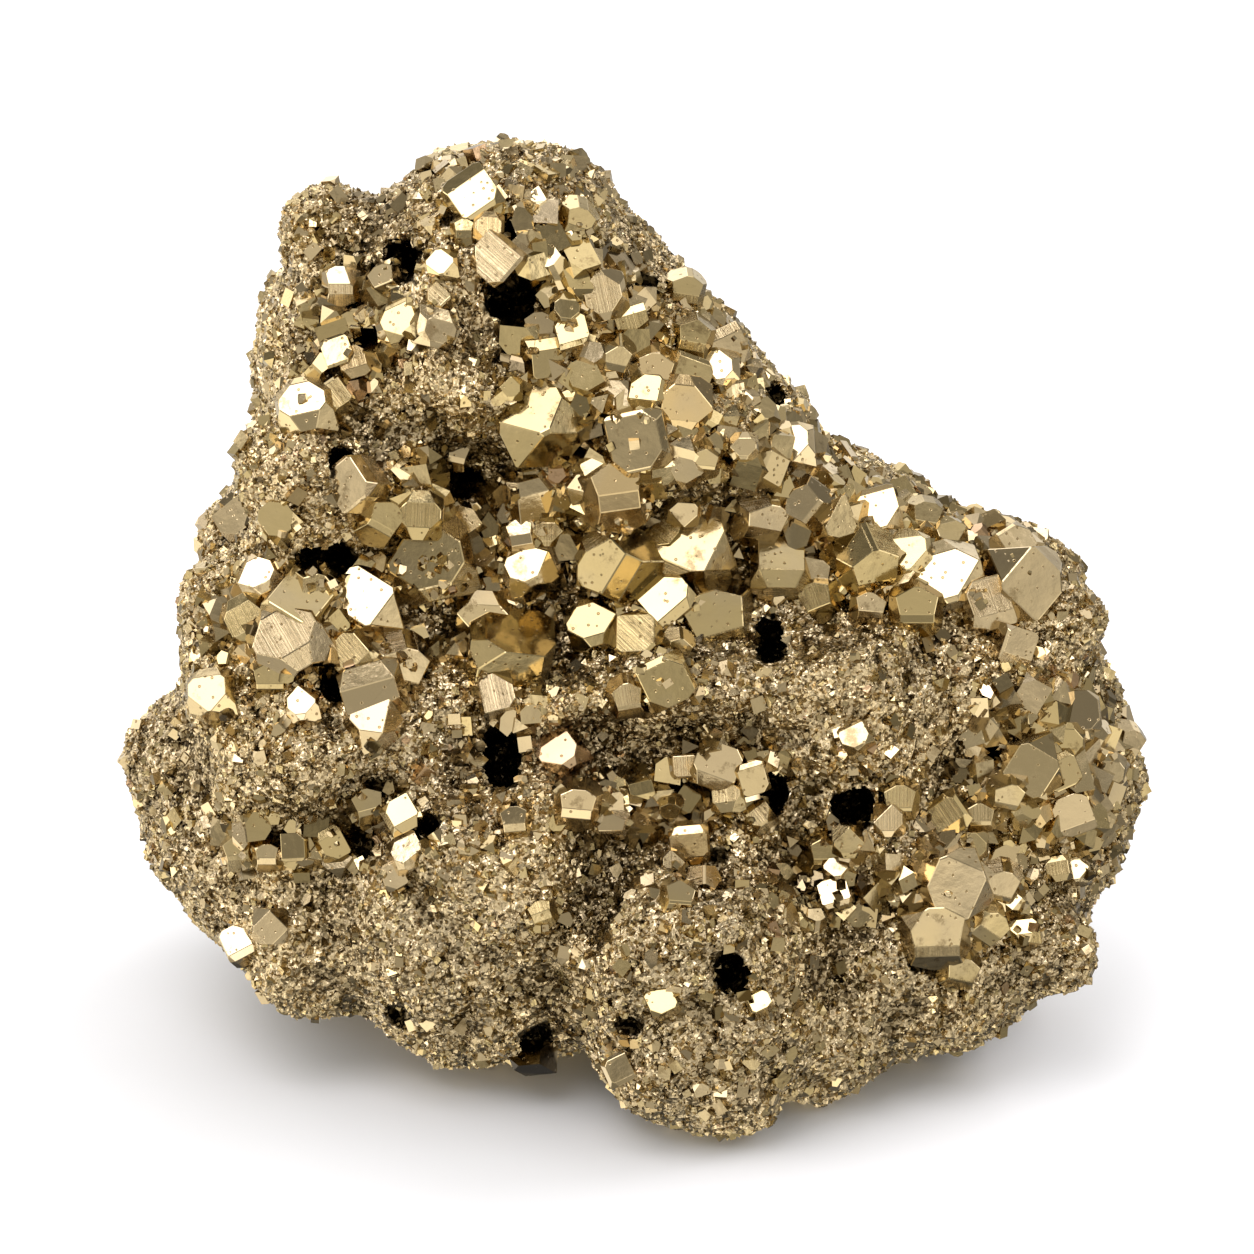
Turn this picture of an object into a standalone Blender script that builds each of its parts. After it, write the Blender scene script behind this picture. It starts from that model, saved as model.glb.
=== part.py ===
"""A pyrite specimen: lobes of granular pyrite grown together with flat-faced crystals, one closed solid.

Lengths are in millimetres until a mesh is made, and MM turns them into metres.
The display side faces -Y. The underside is flat where the specimen rests, at Z = 0.
"""

import math
import random

import bmesh
import bpy
from mathutils import Matrix, Vector, noise
from mathutils.bvhtree import BVHTree

MM = 0.001

# Where the specimen stands in its own frame: added to every lobe's centre.
CENTRE_SHIFT = Vector((0.0, 0.0, -1.2))

# The display view: features on the front are placed by how far across and up they
# appear from EYE, measured in the plane through TARGET that faces it.
EYE_DISTANCE = 402.0
EYE_ELEVATION = math.radians(20.0)
TARGET = Vector((-1.0, 0.0, 42.0)) + CENTRE_SHIFT
TOWARDS_EYE = Vector((0.0, -math.cos(EYE_ELEVATION), math.sin(EYE_ELEVATION)))
EYE = TARGET + TOWARDS_EYE * EYE_DISTANCE
VIEW_ACROSS = Vector((1.0, 0.0, 0.0))
VIEW_UP = TOWARDS_EYE.cross(VIEW_ACROSS)

# Lobes of the massive body: name, centre (x, y, z), radii (x, y, z).
LOBES = (
    ("core", (0, 5, 30), (36, 27, 30)),
    ("crown", (-12.8, 6, 72), (14.8, 16, 17.6)),
    ("crown_right", (-4.5, 6, 64.5), (14.5, 16, 16)),
    ("upper_left", (-25.6, 6, 68.0), (12.2, 14, 11.5)),
    ("ear", (-28.5, 7, 77), (5.0, 7, 9.0)),
    ("slope", (4, 4, 55), (14.5, 18, 16)),
    ("left_shoulder", (-27, 2, 54), (12, 17, 13)),
    ("left_knob", (-36.5, 1, 47.5), (6, 8, 5.5)),
    ("left_flank", (-29, 1, 40), (15, 20, 15)),
    ("left_foot", (-30, 2, 24), (18.5, 22, 20)),
    ("left_heel", (-41, 3, 23), (9, 12, 10)),
    ("left_toe", (-36.5, 2, 10), (5, 7, 6)),
    ("left_foot_front", (-14, -8, 19), (19, 19, 18.5)),
    ("front_foot", (6, -24, 14), (12, 12, 14.5)),
    ("right_waist", (18, 4, 42), (17, 20, 16)),
    ("right_shoulder", (33, 3, 39), (12.5, 18, 13.5)),
    ("right_flank", (33.5, 2, 26), (16.5, 20, 17)),
    ("right_foot", (26, -8, 17), (16.5, 17, 16.5)),
    ("right_heel", (37, 3, 15), (9, 11, 12)),
    ("middle_foot", (17, -14, 10), (10, 12, 11)),
    ("back_foot_left", (-22, 18, 14.5), (14, 13, 14.5)),
    ("back_foot_right", (16, 20, 15.5), (14, 12, 15.5)),
    ("back_left", (-20, 17, 30), (22, 17, 24)),
    ("back_right", (14, 18, 31), (24, 16, 25)),
    ("back_top", (-4, 14, 57), (18, 15, 18)),
)

# Hollows scooped out of the front: across, up, radii (across, up, into the stone), and how
# far the scoop's centre stands off the surface.
SCOOPS = (
    ("basin_left", -12, 4, (17, 9, 8), 4),
    ("basin_right", 14, 6, (16, 8, 8), 4),
    ("upper_vug", -9, 30, (9, 9, 7), 4),
    ("foot_groove", 9, -18, (6, 7, 5), 3),
    ("waist_groove", 2, -12, (16, 3.5, 6), 3),
)

# Knobs of granular pyrite that stand out of the front: across, up, radius, and how far
# their centres lie under the surface.
KNOBS = (
    (-17.0, 30.5, 5.0, 1.0),
    (-16.0, 24.5, 6.0, 1.5),
    (-20.5, 21.0, 5.0, 1.5),
    (-29.5, 38.0, 5.0, 2.5),
    (-31.5, 14.0, 7.0, 3.0),
    (-38.5, 9.5, 4.5, 2.5),
    (-38.5, 2.5, 5.5, 3.5),
    (-18.0, 2.0, 5.5, 1.0),
    (-37.5, -6.0, 6.5, 3.0),
    (-45.5, -13.0, 5.0, 2.5),
    (-30.5, -11.0, 8.0, 4.0),
    (-35.0, -15.5, 5.0, 2.5),
    (-24.0, -12.0, 5.5, 2.5),
    (-20.0, -7.0, 7.0, 2.5),
    (-16.5, -19.5, 6.0, 2.5),
    (-2.5, -10.0, 6.0, 1.5),
    (3.0, -10.5, 4.5, 1.0),
    (-7.5, -16.0, 6.0, 2.0),
    (6.5, -6.5, 6.5, 2.0),
    (11.5, -8.5, 4.5, 1.5),
    (20.0, -2.0, 8.0, 2.0),
    (22.5, -9.5, 7.5, 2.5),
    (30.0, -6.0, 6.5, 3.0),
    (41.0, 1.0, 5.5, 4.5),
    (24.5, -21.5, 5.5, 2.5),
    (7.0, -29.0, 8.0, 4.0),
    (1.5, -33.0, 6.0, 3.0),
    (-12.0, -23.0, 9.0, 5.0),
    (-30.0, -31.0, 8.0, 5.0),
    (40.0, -30.0, 6.0, 3.5),
)

# Crystals on the front, from the crown down to the feet: across, up, width, habit, and the way
# their leading face looks: degrees to the right of the eye, degrees above level, and its spin.
FRONT_CRYSTALS = (
    (-15.0, 41.7, 4.6, "cube", -8, 30, 30),
    (-4.6, 39.4, 3.8, "pyrito", 15, 10, 0),
    (-12.1, 35.0, 4.2, "cube", -14, 26, 40),
    (-2.0, 31.9, 4.6, "cubocta", 4, 18, 15),
    (5.9, 32.7, 3.8, "pyrito", 8, 20, 0),
    (-27.4, 33.2, 3.8, "pyrito", 0, 35, 0),
    (6.6, 28.2, 4.2, "pyrito", 10, 22, 0),
    (9.6, 27.0, 3.8, "cube", 15, 18, 35),
    (-0.9, 26.4, 3.7, "pyrito", 10, 8, 0),
    (3.0, 25.0, 4.4, "pyrito", 5, 18, 0),
    (5.8, 24.4, 3.9, "cube", 25, 12, 0),
    (9.2, 24.8, 3.9, "cubocta", -10, 38, 0),
    (2.1, 22.4, 3.8, "cubocta", -12, 41, 30),
    (5.5, 21.8, 5.2, "cubocta", 8, 18, 0),
    (-30.9, 21.2, 5.3, "cubocta", -13, 41, 5),
    (-8.8, 19.3, 7.2, "cubocta", -14, 42, 20),
    (1.3, 18.0, 5.5, "cube", -14, 14, 2),
    (16.6, 17.3, 4.0, "cubocta", -8, 38, 0),
    (-1.6, 12.6, 6.8, "pyrito", 2, 30, 10),
    (-9.6, 12.4, 5.2, "cube", 22, -6, 30),
    (-25.6, 13.8, 4.4, "cube", -25, 20, 20),
    (17.3, 12.0, 4.8, "pyrito", -10, 15, 40),
    (24.3, 11.2, 4.4, "cube", -10, 40, 10),
    (28.7, 11.0, 3.7, "pyrito", 10, 25, 0),
    (12.6, 10.4, 5.4, "pyrito", 20, 2, 15),
    (-19.8, 10.3, 4.6, "cubocta", 4, 18, 0),
    (-23.8, 9.9, 4.8, "pyrito", 25, 15, 0),
    (37.0, 8.0, 3.8, "cube", 25, 30, 45),
    (27.3, 7.2, 4.6, "cubocta", -12, 42, 0),
    (6.6, 6.9, 6.8, "cubocta", -10, 38, 15),
    (-0.8, 6.4, 7.8, "pyrito", -14, 8, 40),
    (23.0, 6.3, 6.2, "pyrito", 15, 0, 30),
    (-18.4, 6.2, 8.0, "cubocta", -4, 22, 10),
    (14.6, 5.4, 5.7, "cube", 3, 50, 0),
    (-9.3, 5.2, 4.9, "cubocta", -12, 41, 20),
    (31.6, 4.8, 6.6, "cubocta", -12, 41, 10),
    (38.2, 4.8, 6.8, "cubocta", 18, 20, 15),
    (-35.2, 4.4, 4.2, "cubocta", -13, 42, 20),
    (-29.9, 3.8, 4.6, "pyrito", 12, 14, 0),
    (18.6, 3.0, 4.4, "pyrito", -20, 20, 0),
    (4.6, 2.6, 4.6, "cube", -20, 35, 30),
    (34.3, 2.2, 4.8, "cube", 24, 34, 30),
    (-24.4, 2.1, 6.2, "cubocta", -13, 41, 5),
    (28.0, 2.0, 5.0, "pyrito", 0, 28, 0),
    (23.2, 2.0, 3.8, "pyrito", 5, 30, 0),
    (-31.6, 1.9, 5.2, "cube", 10, 50, -30),
    (8.8, 1.4, 7.6, "pyrito", 4, 22, 20),
    (-36.4, 1.2, 4.2, "cube", -12, 22, 20),
    (-14.0, 1.0, 5.0, "cubocta", 5, 24, 0),
    (-3.3, 0.0, 4.8, "cubocta", -12, 41, 10),
    (0.8, -0.9, 4.6, "cubocta", -12, 40, 40),
    (-32.3, -1.6, 6.8, "cubocta", -12, 38, 25),
    (-25.8, -2.4, 3.8, "cube", -20, 20, 30),
    (-11.6, -2.6, 7.8, "cube", 3, -14, -6),
    (-21.8, -3.0, 5.8, "pyrito", 20, 12, 10),
    (-34.4, -4.6, 3.9, "pyrito", 0, 20, 0),
    (3.8, -4.8, 4.5, "cube", -6, 20, 22),
    (-24.6, -5.8, 5.8, "cube", 6, 4, 20),
    (-0.2, -6.2, 3.7, "pyrito", 0, 14, 10),
    (-40.0, -6.8, 4.4, "cubocta", -14, 40, 0),
    (43.9, -8.2, 3.7, "cube", 10, 30, 10),
    (-24.3, -9.0, 4.8, "cubocta", -12, 42, 30),
    (-6.0, -12.0, 4.2, "cubocta", -10, 36, 30),
    (39.2, -13.0, 5.2, "cubocta", -5, 8, 10),
    (8.2, -13.6, 4.2, "cube", 8, 22, -15),
    (36.4, -15.8, 4.0, "pyrito", 10, 5, 0),
    (26.4, -16.6, 3.8, "pyrito", 0, 20, 0),
    (-25.0, -17.3, 3.8, "pyrito", 5, 25, 20),
    (-4.5, -17.3, 4.4, "pyrito", 5, 20, 0),
    (31.2, -17.8, 3.8, "cube", -20, 12, 20),
    (43.0, -18.2, 3.7, "cube", 0, 25, 20),
    (-1.3, -18.8, 3.7, "pyrito", 0, 5, 0),
    (6.2, -20.6, 3.7, "cube", 0, 12, 5),
    (18.8, -21.4, 3.8, "pyrito", 0, 12, 0),
    (35.8, -24.4, 4.8, "pyrito", 12, 10, 0),
    (31.8, -24.6, 6.2, "cubocta", -2, 14, 20),
    (34.5, -28.2, 4.6, "pyrito", 25, 0, 0),
    (29.6, -29.2, 6.6, "pyrito", -2, 16, 0),
    (32.0, -33.0, 3.8, "pyrito", 10, 8, 0),
    (-38.6, -33.0, 4.6, "cube", -14, 22, 32),
)

# Dark pits, angular like the crystals that lined them: across, up, width, height, depth.
PITS = (
    (-11.0, 31.5, 3.6, 4.2, 9.0),
    (-21.8, 35.2, 2.5, 3.3, 8.0),
    (-16.5, 39.4, 3.9, 1.1, 6.0),
    (-11.4, 37.6, 1.9, 2.2, 6.0),
    (2.0, 33.0, 1.7, 1.9, 6.0),
    (-26.8, 31.4, 2.7, 1.2, 5.0),
    (-25.5, 27.8, 3.6, 1.7, 6.0),
    (-27.6, 24.3, 2.5, 1.4, 6.0),
    (14.5, 22.3, 1.6, 2.3, 5.0),
    (-4.5, 16.8, 2.7, 1.6, 6.0),
    (10.0, 16.8, 1.7, 1.6, 5.0),
    (-27.4, 15.6, 1.6, 2.7, 6.0),
    (-15.8, 13.8, 3.4, 2.2, 7.0),
    (-29.0, 6.5, 5.5, 2.0, 8.0),
    (13.8, -1.8, 2.0, 4.4, 8.0),
    (-28.0, -5.0, 2.0, 3.4, 7.0),
    (-12.0, -13.0, 2.7, 5.5, 10.0),
    (5.8, -14.8, 3.1, 1.6, 8.0),
    (13.8, -16.0, 2.3, 3.4, 8.0),
    (36.2, -12.2, 3.1, 2.8, 8.0),
    (-24.0, -15.6, 2.0, 1.2, 5.0),
    (21.8, -17.4, 3.6, 3.0, 9.0),
    (-26.0, -21.0, 3.1, 1.7, 6.0),
    (-33.2, -20.6, 2.8, 1.4, 6.0),
    (-19.5, -19.0, 2.3, 1.9, 7.0),
    (8.6, -21.8, 2.0, 1.4, 5.0),
    (10.0, -33.4, 2.3, 2.7, 7.0),
    (28.4, -32.3, 2.3, 1.7, 5.0),
    (0.0, -38.5, 2.2, 1.5, 6.0),
    (-22.2, -37.6, 2.3, 1.4, 5.0),
    (-8.8, -40.0, 2.5, 2.3, 6.0),
)

# Grain of the three skins the body goes through: grown together, scooped out, made lumpy.
LOBE_VOXEL = 1.6
SCOOP_VOXEL = 1.3
SKIN_VOXEL = 1.1

BALL_SUBDIVISIONS = 4
CREASE_SOFTENING = 6
CREASE_FACTOR = 0.5

# Lumps on the body: how wide they are, how high, and how much of that height stands inwards.
BOTRYOID_SIZE = 9.0
BOTRYOID_HEIGHT = 2.2
RUBBLE_SIZE = 4.0
RUBBLE_HEIGHT = 1.4
LUMP_MIDLEVEL = 0.4
BODY_SHARE_KEPT = 0.046

# How far each family of faces lies from a crystal's centre, with the cube's at 1:
# the pyritohedron's faces {210} and the octahedron's {111}. None leaves a family out.
HABITS = {
    "cube": (None, None),
    "cubocta": (None, 1.17),
    "pyrito": (0.97, None),
}
POCKET_HABIT = (None, 1.2)
LEADING_FACE = {
    "cube": Vector((0, 0, 1)),
    "cubocta": Vector((0, 0, 1)),
    "pyrito": Vector((0, 1, 2)).normalized(),
}
FACE_UNEVENNESS = 0.07

# How far crystals are sunk into the body, as a share of their width.
CRYSTAL_SINK = 0.16
OUTLINE_SINK = 0.42

# How far a pit's cutter stands off the surface.
PIT_OVERHANG = 2.5

# Crystals round the sides and the back: rays towards RING_CENTRE, spread evenly down to
# RING_LOWEST. A crystal is placed where the surface faces less than RING_FRONT of the way
# towards the eye, and past RING_BACK it stands out in full.
RING_CENTRE = Vector((0.0, 4.0, 36.0))
RING_RAYS = 160
RING_LOWEST = -0.35
RING_FRONT = -0.35
RING_BACK = -0.6
RING_WIDTH = (3.6, 7.2)
RING_CLEARANCE = 0.9
PATCH_SIZE = 17.0
PATCH_FLOOR = 0.0

# Every pocket, front crystal and ring crystal draws its chances from its own seed.
PIT_SEED = 11
FRONT_SEED = 1000
RING_SEED = 2000

GROUND_WIDTH = 160.0
GROUND_DEPTH = 40.0

PYRITE_COLOUR = (0.56, 0.47, 0.27, 1.0)
PYRITE_ROUGHNESS = 0.28


def clear_scene():
    for thing in list(bpy.data.objects):
        bpy.data.objects.remove(thing)


def new_collection(name, helper=False):
    made = bpy.data.collections.new(name)
    bpy.context.scene.collection.children.link(made)
    made["helper"] = helper
    return made


def link_object(name, mesh, collection):
    made = bpy.data.objects.new(name, mesh)
    collection.objects.link(made)
    if collection["helper"]:
        made.hide_render = True
        made.display_type = "WIRE"
    return made


def ball_into(shape, centre, radii, turn=None):
    """Adds an ellipsoid to a bmesh, its radii along the axes of turn."""
    placing = Matrix.Translation(Vector(centre) * MM)
    if turn is not None:
        placing = placing @ turn.to_4x4()
    placing = placing @ Matrix.Diagonal((*(Vector(radii) * MM), 1.0))
    bmesh.ops.create_icosphere(
        shape, subdivisions=BALL_SUBDIVISIONS, radius=1.0, matrix=placing
    )


def evaluated_tree(thing):
    """The surface of an object with its modifiers, for dropping points onto."""
    bpy.context.view_layer.update()
    return BVHTree.FromObject(thing, bpy.context.evaluated_depsgraph_get())


def drop_from_eye(tree, across, up):
    """The point of the surface seen at (across, up), its normal and the line of sight."""
    seen = TARGET + VIEW_ACROSS * across + VIEW_UP * up
    towards = (seen - EYE).normalized()
    point, normal, _, _ = tree.ray_cast(EYE * MM, towards)
    return (point / MM, normal, towards) if point else (None, None, towards)


def view_turn(towards):
    """Axes across, up the view and out of the stone, for a shape placed from the eye."""
    across = towards.cross(VIEW_UP).normalized()
    up = across.cross(towards).normalized()
    return Matrix((across, up, -towards)).transposed()


def add_texture(name, kind, size):
    texture = bpy.data.textures.new(name, kind)
    texture.noise_scale = size * MM
    return texture


def mesh_of(shape, name):
    mesh = bpy.data.meshes.new(name)
    shape.to_mesh(mesh)
    shape.free()
    return mesh


def add_boolean(body, name, operation, cutter):
    modifier = body.modifiers.new(name, "BOOLEAN")
    modifier.operation = operation
    modifier.use_self = True
    modifier.object = cutter


def add_lumps(body, name, size, height):
    modifier = body.modifiers.new(name, "DISPLACE")
    modifier.texture = add_texture(name, "VORONOI", size)
    modifier.texture_coords = "LOCAL"
    modifier.strength = -height * MM
    modifier.mid_level = LUMP_MIDLEVEL


def add_remesh(body, name, voxel):
    modifier = body.modifiers.new(name, "REMESH")
    modifier.mode = "VOXEL"
    modifier.voxel_size = voxel * MM


def build_massive_body(collection, helpers):
    """The lobes and knobs grown into one skin, with the scoops taken out and a lumpy surface."""
    shape = bmesh.new()
    for _, centre, radii in LOBES:
        ball_into(shape, Vector(centre) + CENTRE_SHIFT, radii)
    mesh = bpy.data.meshes.new("pyrite_cluster")
    shape.to_mesh(mesh)
    body = link_object("pyrite_cluster", mesh, collection)
    lobes = evaluated_tree(body)

    for across, up, radius, depth in KNOBS:
        point, _, towards = drop_from_eye(lobes, across, up)
        ball_into(shape, point + towards * depth, (radius,) * 3)
    shape.to_mesh(mesh)
    shape.free()

    add_remesh(body, "grown together", LOBE_VOXEL)

    scoops = bmesh.new()
    for _, across, up, radii, off in SCOOPS:
        point, _, towards = drop_from_eye(lobes, across, up)
        ball_into(scoops, point - towards * off, radii, view_turn(towards))
    scoop_mesh = mesh_of(scoops, "scoops")
    add_boolean(body, "scoops", "DIFFERENCE", link_object("scoops", scoop_mesh, helpers))

    add_remesh(body, "even mesh", SCOOP_VOXEL)
    soften = body.modifiers.new("soft creases", "SMOOTH")
    soften.iterations = CREASE_SOFTENING
    soften.factor = CREASE_FACTOR
    add_lumps(body, "botryoids", BOTRYOID_SIZE, BOTRYOID_HEIGHT)
    add_lumps(body, "rubble", RUBBLE_SIZE, RUBBLE_HEIGHT)
    add_remesh(body, "sound skin", SKIN_VOXEL)
    return body


def face_planes(pyrito, octa, chance):
    """Normals and distances of the faces that cut a crystal out of its cube, a little uneven."""
    planes = []
    for a in (-1, 1):
        for b in (-1, 1):
            if pyrito:
                for normal in ((0, a, 2 * b), (2 * b, 0, a), (a, 2 * b, 0)):
                    planes.append((Vector(normal).normalized(), pyrito))
            if octa:
                for c in (-1, 1):
                    planes.append((Vector((a, b, c)).normalized(), octa))
    return [(n, d * chance.uniform(1 - FACE_UNEVENNESS, 1 + FACE_UNEVENNESS)) for n, d in planes]


def crystal_into(shape, centre, turn, width, families, chance):
    """Cuts a crystal from a cube, plane by plane, and adds it to a bmesh."""
    crystal = bmesh.new()
    bmesh.ops.create_cube(crystal, size=2.0)
    for normal, distance in face_planes(*families, chance):
        whole = crystal.verts[:] + crystal.edges[:] + crystal.faces[:]
        bmesh.ops.bisect_plane(
            crystal, geom=whole, plane_co=normal * distance, plane_no=normal, clear_outer=True
        )
        rim = [edge for edge in crystal.edges if edge.is_boundary]
        bmesh.ops.holes_fill(crystal, edges=rim)
    bmesh.ops.recalc_face_normals(crystal, faces=crystal.faces)
    placing = Matrix.Translation(centre * MM) @ turn.to_4x4() @ Matrix.Scale(width / 2 * MM, 4)
    crystal.transform(placing)
    mesh = mesh_of(crystal, "crystal")
    shape.from_mesh(mesh)
    bpy.data.meshes.remove(mesh)


def facing_turn(habit, pan, tilt, spin):
    """Turns a crystal so that its leading face looks pan to the right and tilt above level."""
    pan, tilt = math.radians(pan), math.radians(tilt)
    look = Vector((math.sin(pan) * math.cos(tilt), -math.cos(pan) * math.cos(tilt), math.sin(tilt)))
    lead = LEADING_FACE[habit].rotation_difference(look)
    return (Matrix.Rotation(math.radians(spin), 3, look) @ lead.to_matrix())


def front_crystals_into(shape, tree):
    for number, row in enumerate(FRONT_CRYSTALS):
        across, up, width, habit, pan, tilt, spin = row
        point, normal, towards = drop_from_eye(tree, across, up)
        if point is None:
            continue
        centre = point - normal * (width * CRYSTAL_SINK)
        turn = facing_turn(habit, pan, tilt, spin)
        chance = random.Random(FRONT_SEED + number)
        crystal_into(shape, centre, turn, width, HABITS[habit], chance)


def even_directions(count, lowest):
    """Directions spread evenly round a ball, by the golden angle, from its top down to lowest."""
    for k in range(count):
        z = 1 - (1 - lowest) * (k + 0.5) / count
        angle = k * math.pi * (3 - math.sqrt(5))
        flat = math.sqrt(1 - z * z)
        yield Vector((flat * math.cos(angle), flat * math.sin(angle), z))


def random_turn(chance):
    axis = Vector([chance.gauss(0, 1) for _ in range(3)])
    return Matrix.Rotation(chance.uniform(0, 2 * math.pi), 3, axis.normalized())


def ring_crystals_into(shape, tree):
    """Crystals in patches over the sides and back, with bare granular ground between them."""
    centre = RING_CENTRE + CENTRE_SHIFT
    for number, direction in enumerate(even_directions(RING_RAYS, RING_LOWEST)):
        chance = random.Random(RING_SEED + number)
        turn = random_turn(chance)
        share = chance.random()
        habit = chance.choice(sorted(HABITS))
        point, normal, _, _ = tree.ray_cast((centre + direction * EYE_DISTANCE) * MM, -direction)
        facing = normal.dot(TOWARDS_EYE) if point else 1.0
        if facing > RING_FRONT:
            continue
        point = point / MM
        patch = noise.noise(point / PATCH_SIZE)
        width = RING_WIDTH[0] + (RING_WIDTH[1] - RING_WIDTH[0]) * share * share
        if patch < PATCH_FLOOR or point.z < width * RING_CLEARANCE:
            continue
        sink = CRYSTAL_SINK if facing < RING_BACK else OUTLINE_SINK
        crystal_into(shape, point - normal * (width * sink), turn, width, HABITS[habit], chance)


def pits_into(shape, tree):
    """Angular pockets: cubes with their corners cut, drawn out into the stone."""
    chance = random.Random(PIT_SEED)
    for across, up, width, height, depth in PITS:
        point, _, towards = drop_from_eye(tree, across, up)
        if point is None:
            continue
        length = depth + PIT_OVERHANG
        middle = point + towards * (depth - PIT_OVERHANG) / 2
        stretch = Matrix.Diagonal((width / length, height / length, 1.0))
        turn = view_turn(towards) @ stretch @ random_turn(chance)
        crystal_into(shape, middle, turn, length, POCKET_HABIT, chance)


def build_ground(helpers):
    """The block that trims the underside flat."""
    shape = bmesh.new()
    bmesh.ops.create_cube(shape, size=1.0)
    size = Vector((GROUND_WIDTH, GROUND_WIDTH, GROUND_DEPTH)) * MM
    bmesh.ops.scale(shape, vec=size, verts=shape.verts)
    bmesh.ops.translate(shape, vec=(0, 0, -GROUND_DEPTH / 2 * MM), verts=shape.verts)
    return link_object("ground", mesh_of(shape, "ground"), helpers)


def pyrite_material():
    material = bpy.data.materials.new("pyrite")
    material.use_nodes = True
    surface = material.node_tree.nodes["Principled BSDF"]
    surface.inputs["Base Color"].default_value = PYRITE_COLOUR
    surface.inputs["Metallic"].default_value = 1.0
    surface.inputs["Roughness"].default_value = PYRITE_ROUGHNESS
    material.diffuse_color = PYRITE_COLOUR
    return material


def main():
    clear_scene()
    specimen = new_collection("pyrite_specimen")
    helpers = new_collection("cutters", helper=True)
    body = build_massive_body(specimen, helpers)
    tree = evaluated_tree(body)

    fewer = body.modifiers.new("flat facets", "DECIMATE")
    fewer.ratio = BODY_SHARE_KEPT

    pits = bmesh.new()
    pits_into(pits, tree)
    add_boolean(body, "pits", "DIFFERENCE", link_object("pits", mesh_of(pits, "pits"), helpers))

    crystals = bmesh.new()
    front_crystals_into(crystals, tree)
    ring_crystals_into(crystals, tree)
    crystal_mesh = mesh_of(crystals, "crystals")
    add_boolean(body, "crystals", "UNION", link_object("crystals", crystal_mesh, helpers))

    add_boolean(body, "flat underside", "DIFFERENCE", build_ground(helpers))
    body.data.materials.append(pyrite_material())


main()
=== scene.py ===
import math
import random
from itertools import product

import bmesh
import bpy
import numpy as np
from mathutils import Matrix, Vector, noise
from mathutils.bvhtree import BVHTree
from mathutils.kdtree import KDTree


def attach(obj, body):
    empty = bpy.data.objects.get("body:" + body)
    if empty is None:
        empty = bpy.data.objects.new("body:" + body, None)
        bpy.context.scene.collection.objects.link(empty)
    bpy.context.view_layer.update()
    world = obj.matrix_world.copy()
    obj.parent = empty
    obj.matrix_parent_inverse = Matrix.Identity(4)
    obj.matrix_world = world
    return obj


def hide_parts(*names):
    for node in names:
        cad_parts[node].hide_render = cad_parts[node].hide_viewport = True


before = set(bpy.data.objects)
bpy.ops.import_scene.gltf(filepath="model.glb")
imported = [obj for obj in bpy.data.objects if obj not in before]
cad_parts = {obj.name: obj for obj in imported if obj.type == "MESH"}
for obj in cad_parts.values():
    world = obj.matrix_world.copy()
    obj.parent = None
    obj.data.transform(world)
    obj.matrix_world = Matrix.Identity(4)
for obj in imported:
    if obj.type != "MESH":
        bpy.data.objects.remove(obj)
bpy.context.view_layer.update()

# lengths are in millimetres until a mesh is filled
mm = 0.001

display = {
    "distance": 402.0,
    "elevation": 20.0,
    "target": (-1.0, 0.0, 40.8),
    "lens": 120.0,
    "sensor": 36.0,
    "clipStart": 10.0,
}

lift = math.radians(display["elevation"])
target = Vector(display["target"])
towardsEye = Vector((0.0, -math.cos(lift), math.sin(lift)))
eye = target + towardsEye * display["distance"]
viewAcross = Vector((1.0, 0.0, 0.0))
viewUp = towardsEye.cross(viewAcross)


class Wire:
    # one output of a node, or the bare node tree while there is no socket yet
    def __init__(self, tree, socket=None):
        self.tree = tree
        self.socket = socket

    def add(self, kind, settings=None, values=None, out=0):
        made = self.tree.nodes.new(kind)
        for name, value in (settings or {}).items():
            setattr(made, name, value)
        for name, value in (values or {}).items():
            if isinstance(value, Wire):
                self.tree.links.new(value.socket, made.inputs[name])
            else:
                made.inputs[name].default_value = value
        return Wire(self.tree, made.outputs[out] if made.outputs else None)

    def maths(self, operation, first, second=0.0, clamp=False):
        return self.add("ShaderNodeMath", {"operation": operation, "use_clamp": clamp},
                        {0: first, 1: second})

    def __add__(self, other):
        return self.maths("ADD", self, other)

    def __radd__(self, other):
        return self.maths("ADD", other, self)

    def __sub__(self, other):
        return self.maths("SUBTRACT", self, other)

    def __rsub__(self, other):
        return self.maths("SUBTRACT", other, self)

    def __mul__(self, other):
        return self.maths("MULTIPLY", self, other)

    def __rmul__(self, other):
        return self.maths("MULTIPLY", other, self)

    def clamped(self):
        return self.maths("ADD", self, 0.0, clamp=True)

    def between(self, low, high):
        # 0 below low, 1 above high, smooth between
        return self.add("ShaderNodeMapRange", {"interpolation_type": "SMOOTHSTEP"},
                        {"Value": self, "From Min": low, "From Max": high})

    def mixed(self, share, first, second, blend="MIX"):
        return self.add("ShaderNodeMix", {"data_type": "RGBA", "blend_type": blend},
                        {0: share, 6: first, 7: second}, out=2)

    def vector(self, operation, first, second=(0.0, 0.0, 0.0), out=0):
        return self.add("ShaderNodeVectorMath", {"operation": operation}, {0: first, 1: second}, out)

    def value(self, name):
        # a number stored on the mesh
        return self.add("ShaderNodeAttribute", {"attribute_name": name}, out=2)

    def place(self):
        return self.add("ShaderNodeTexCoord", out=3)

    def clouds(self, place, scale, detail, roughness=0.5):
        return self.add("ShaderNodeTexNoise", {}, {
            "Vector": place, "Scale": scale, "Detail": detail, "Roughness": roughness})


def startNodes(owner):
    owner.use_nodes = True
    owner.node_tree.nodes.clear()
    return Wire(owner.node_tree)


def startMaterial(name):
    material = bpy.data.materials.new(name)
    return material, startNodes(material)


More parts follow.
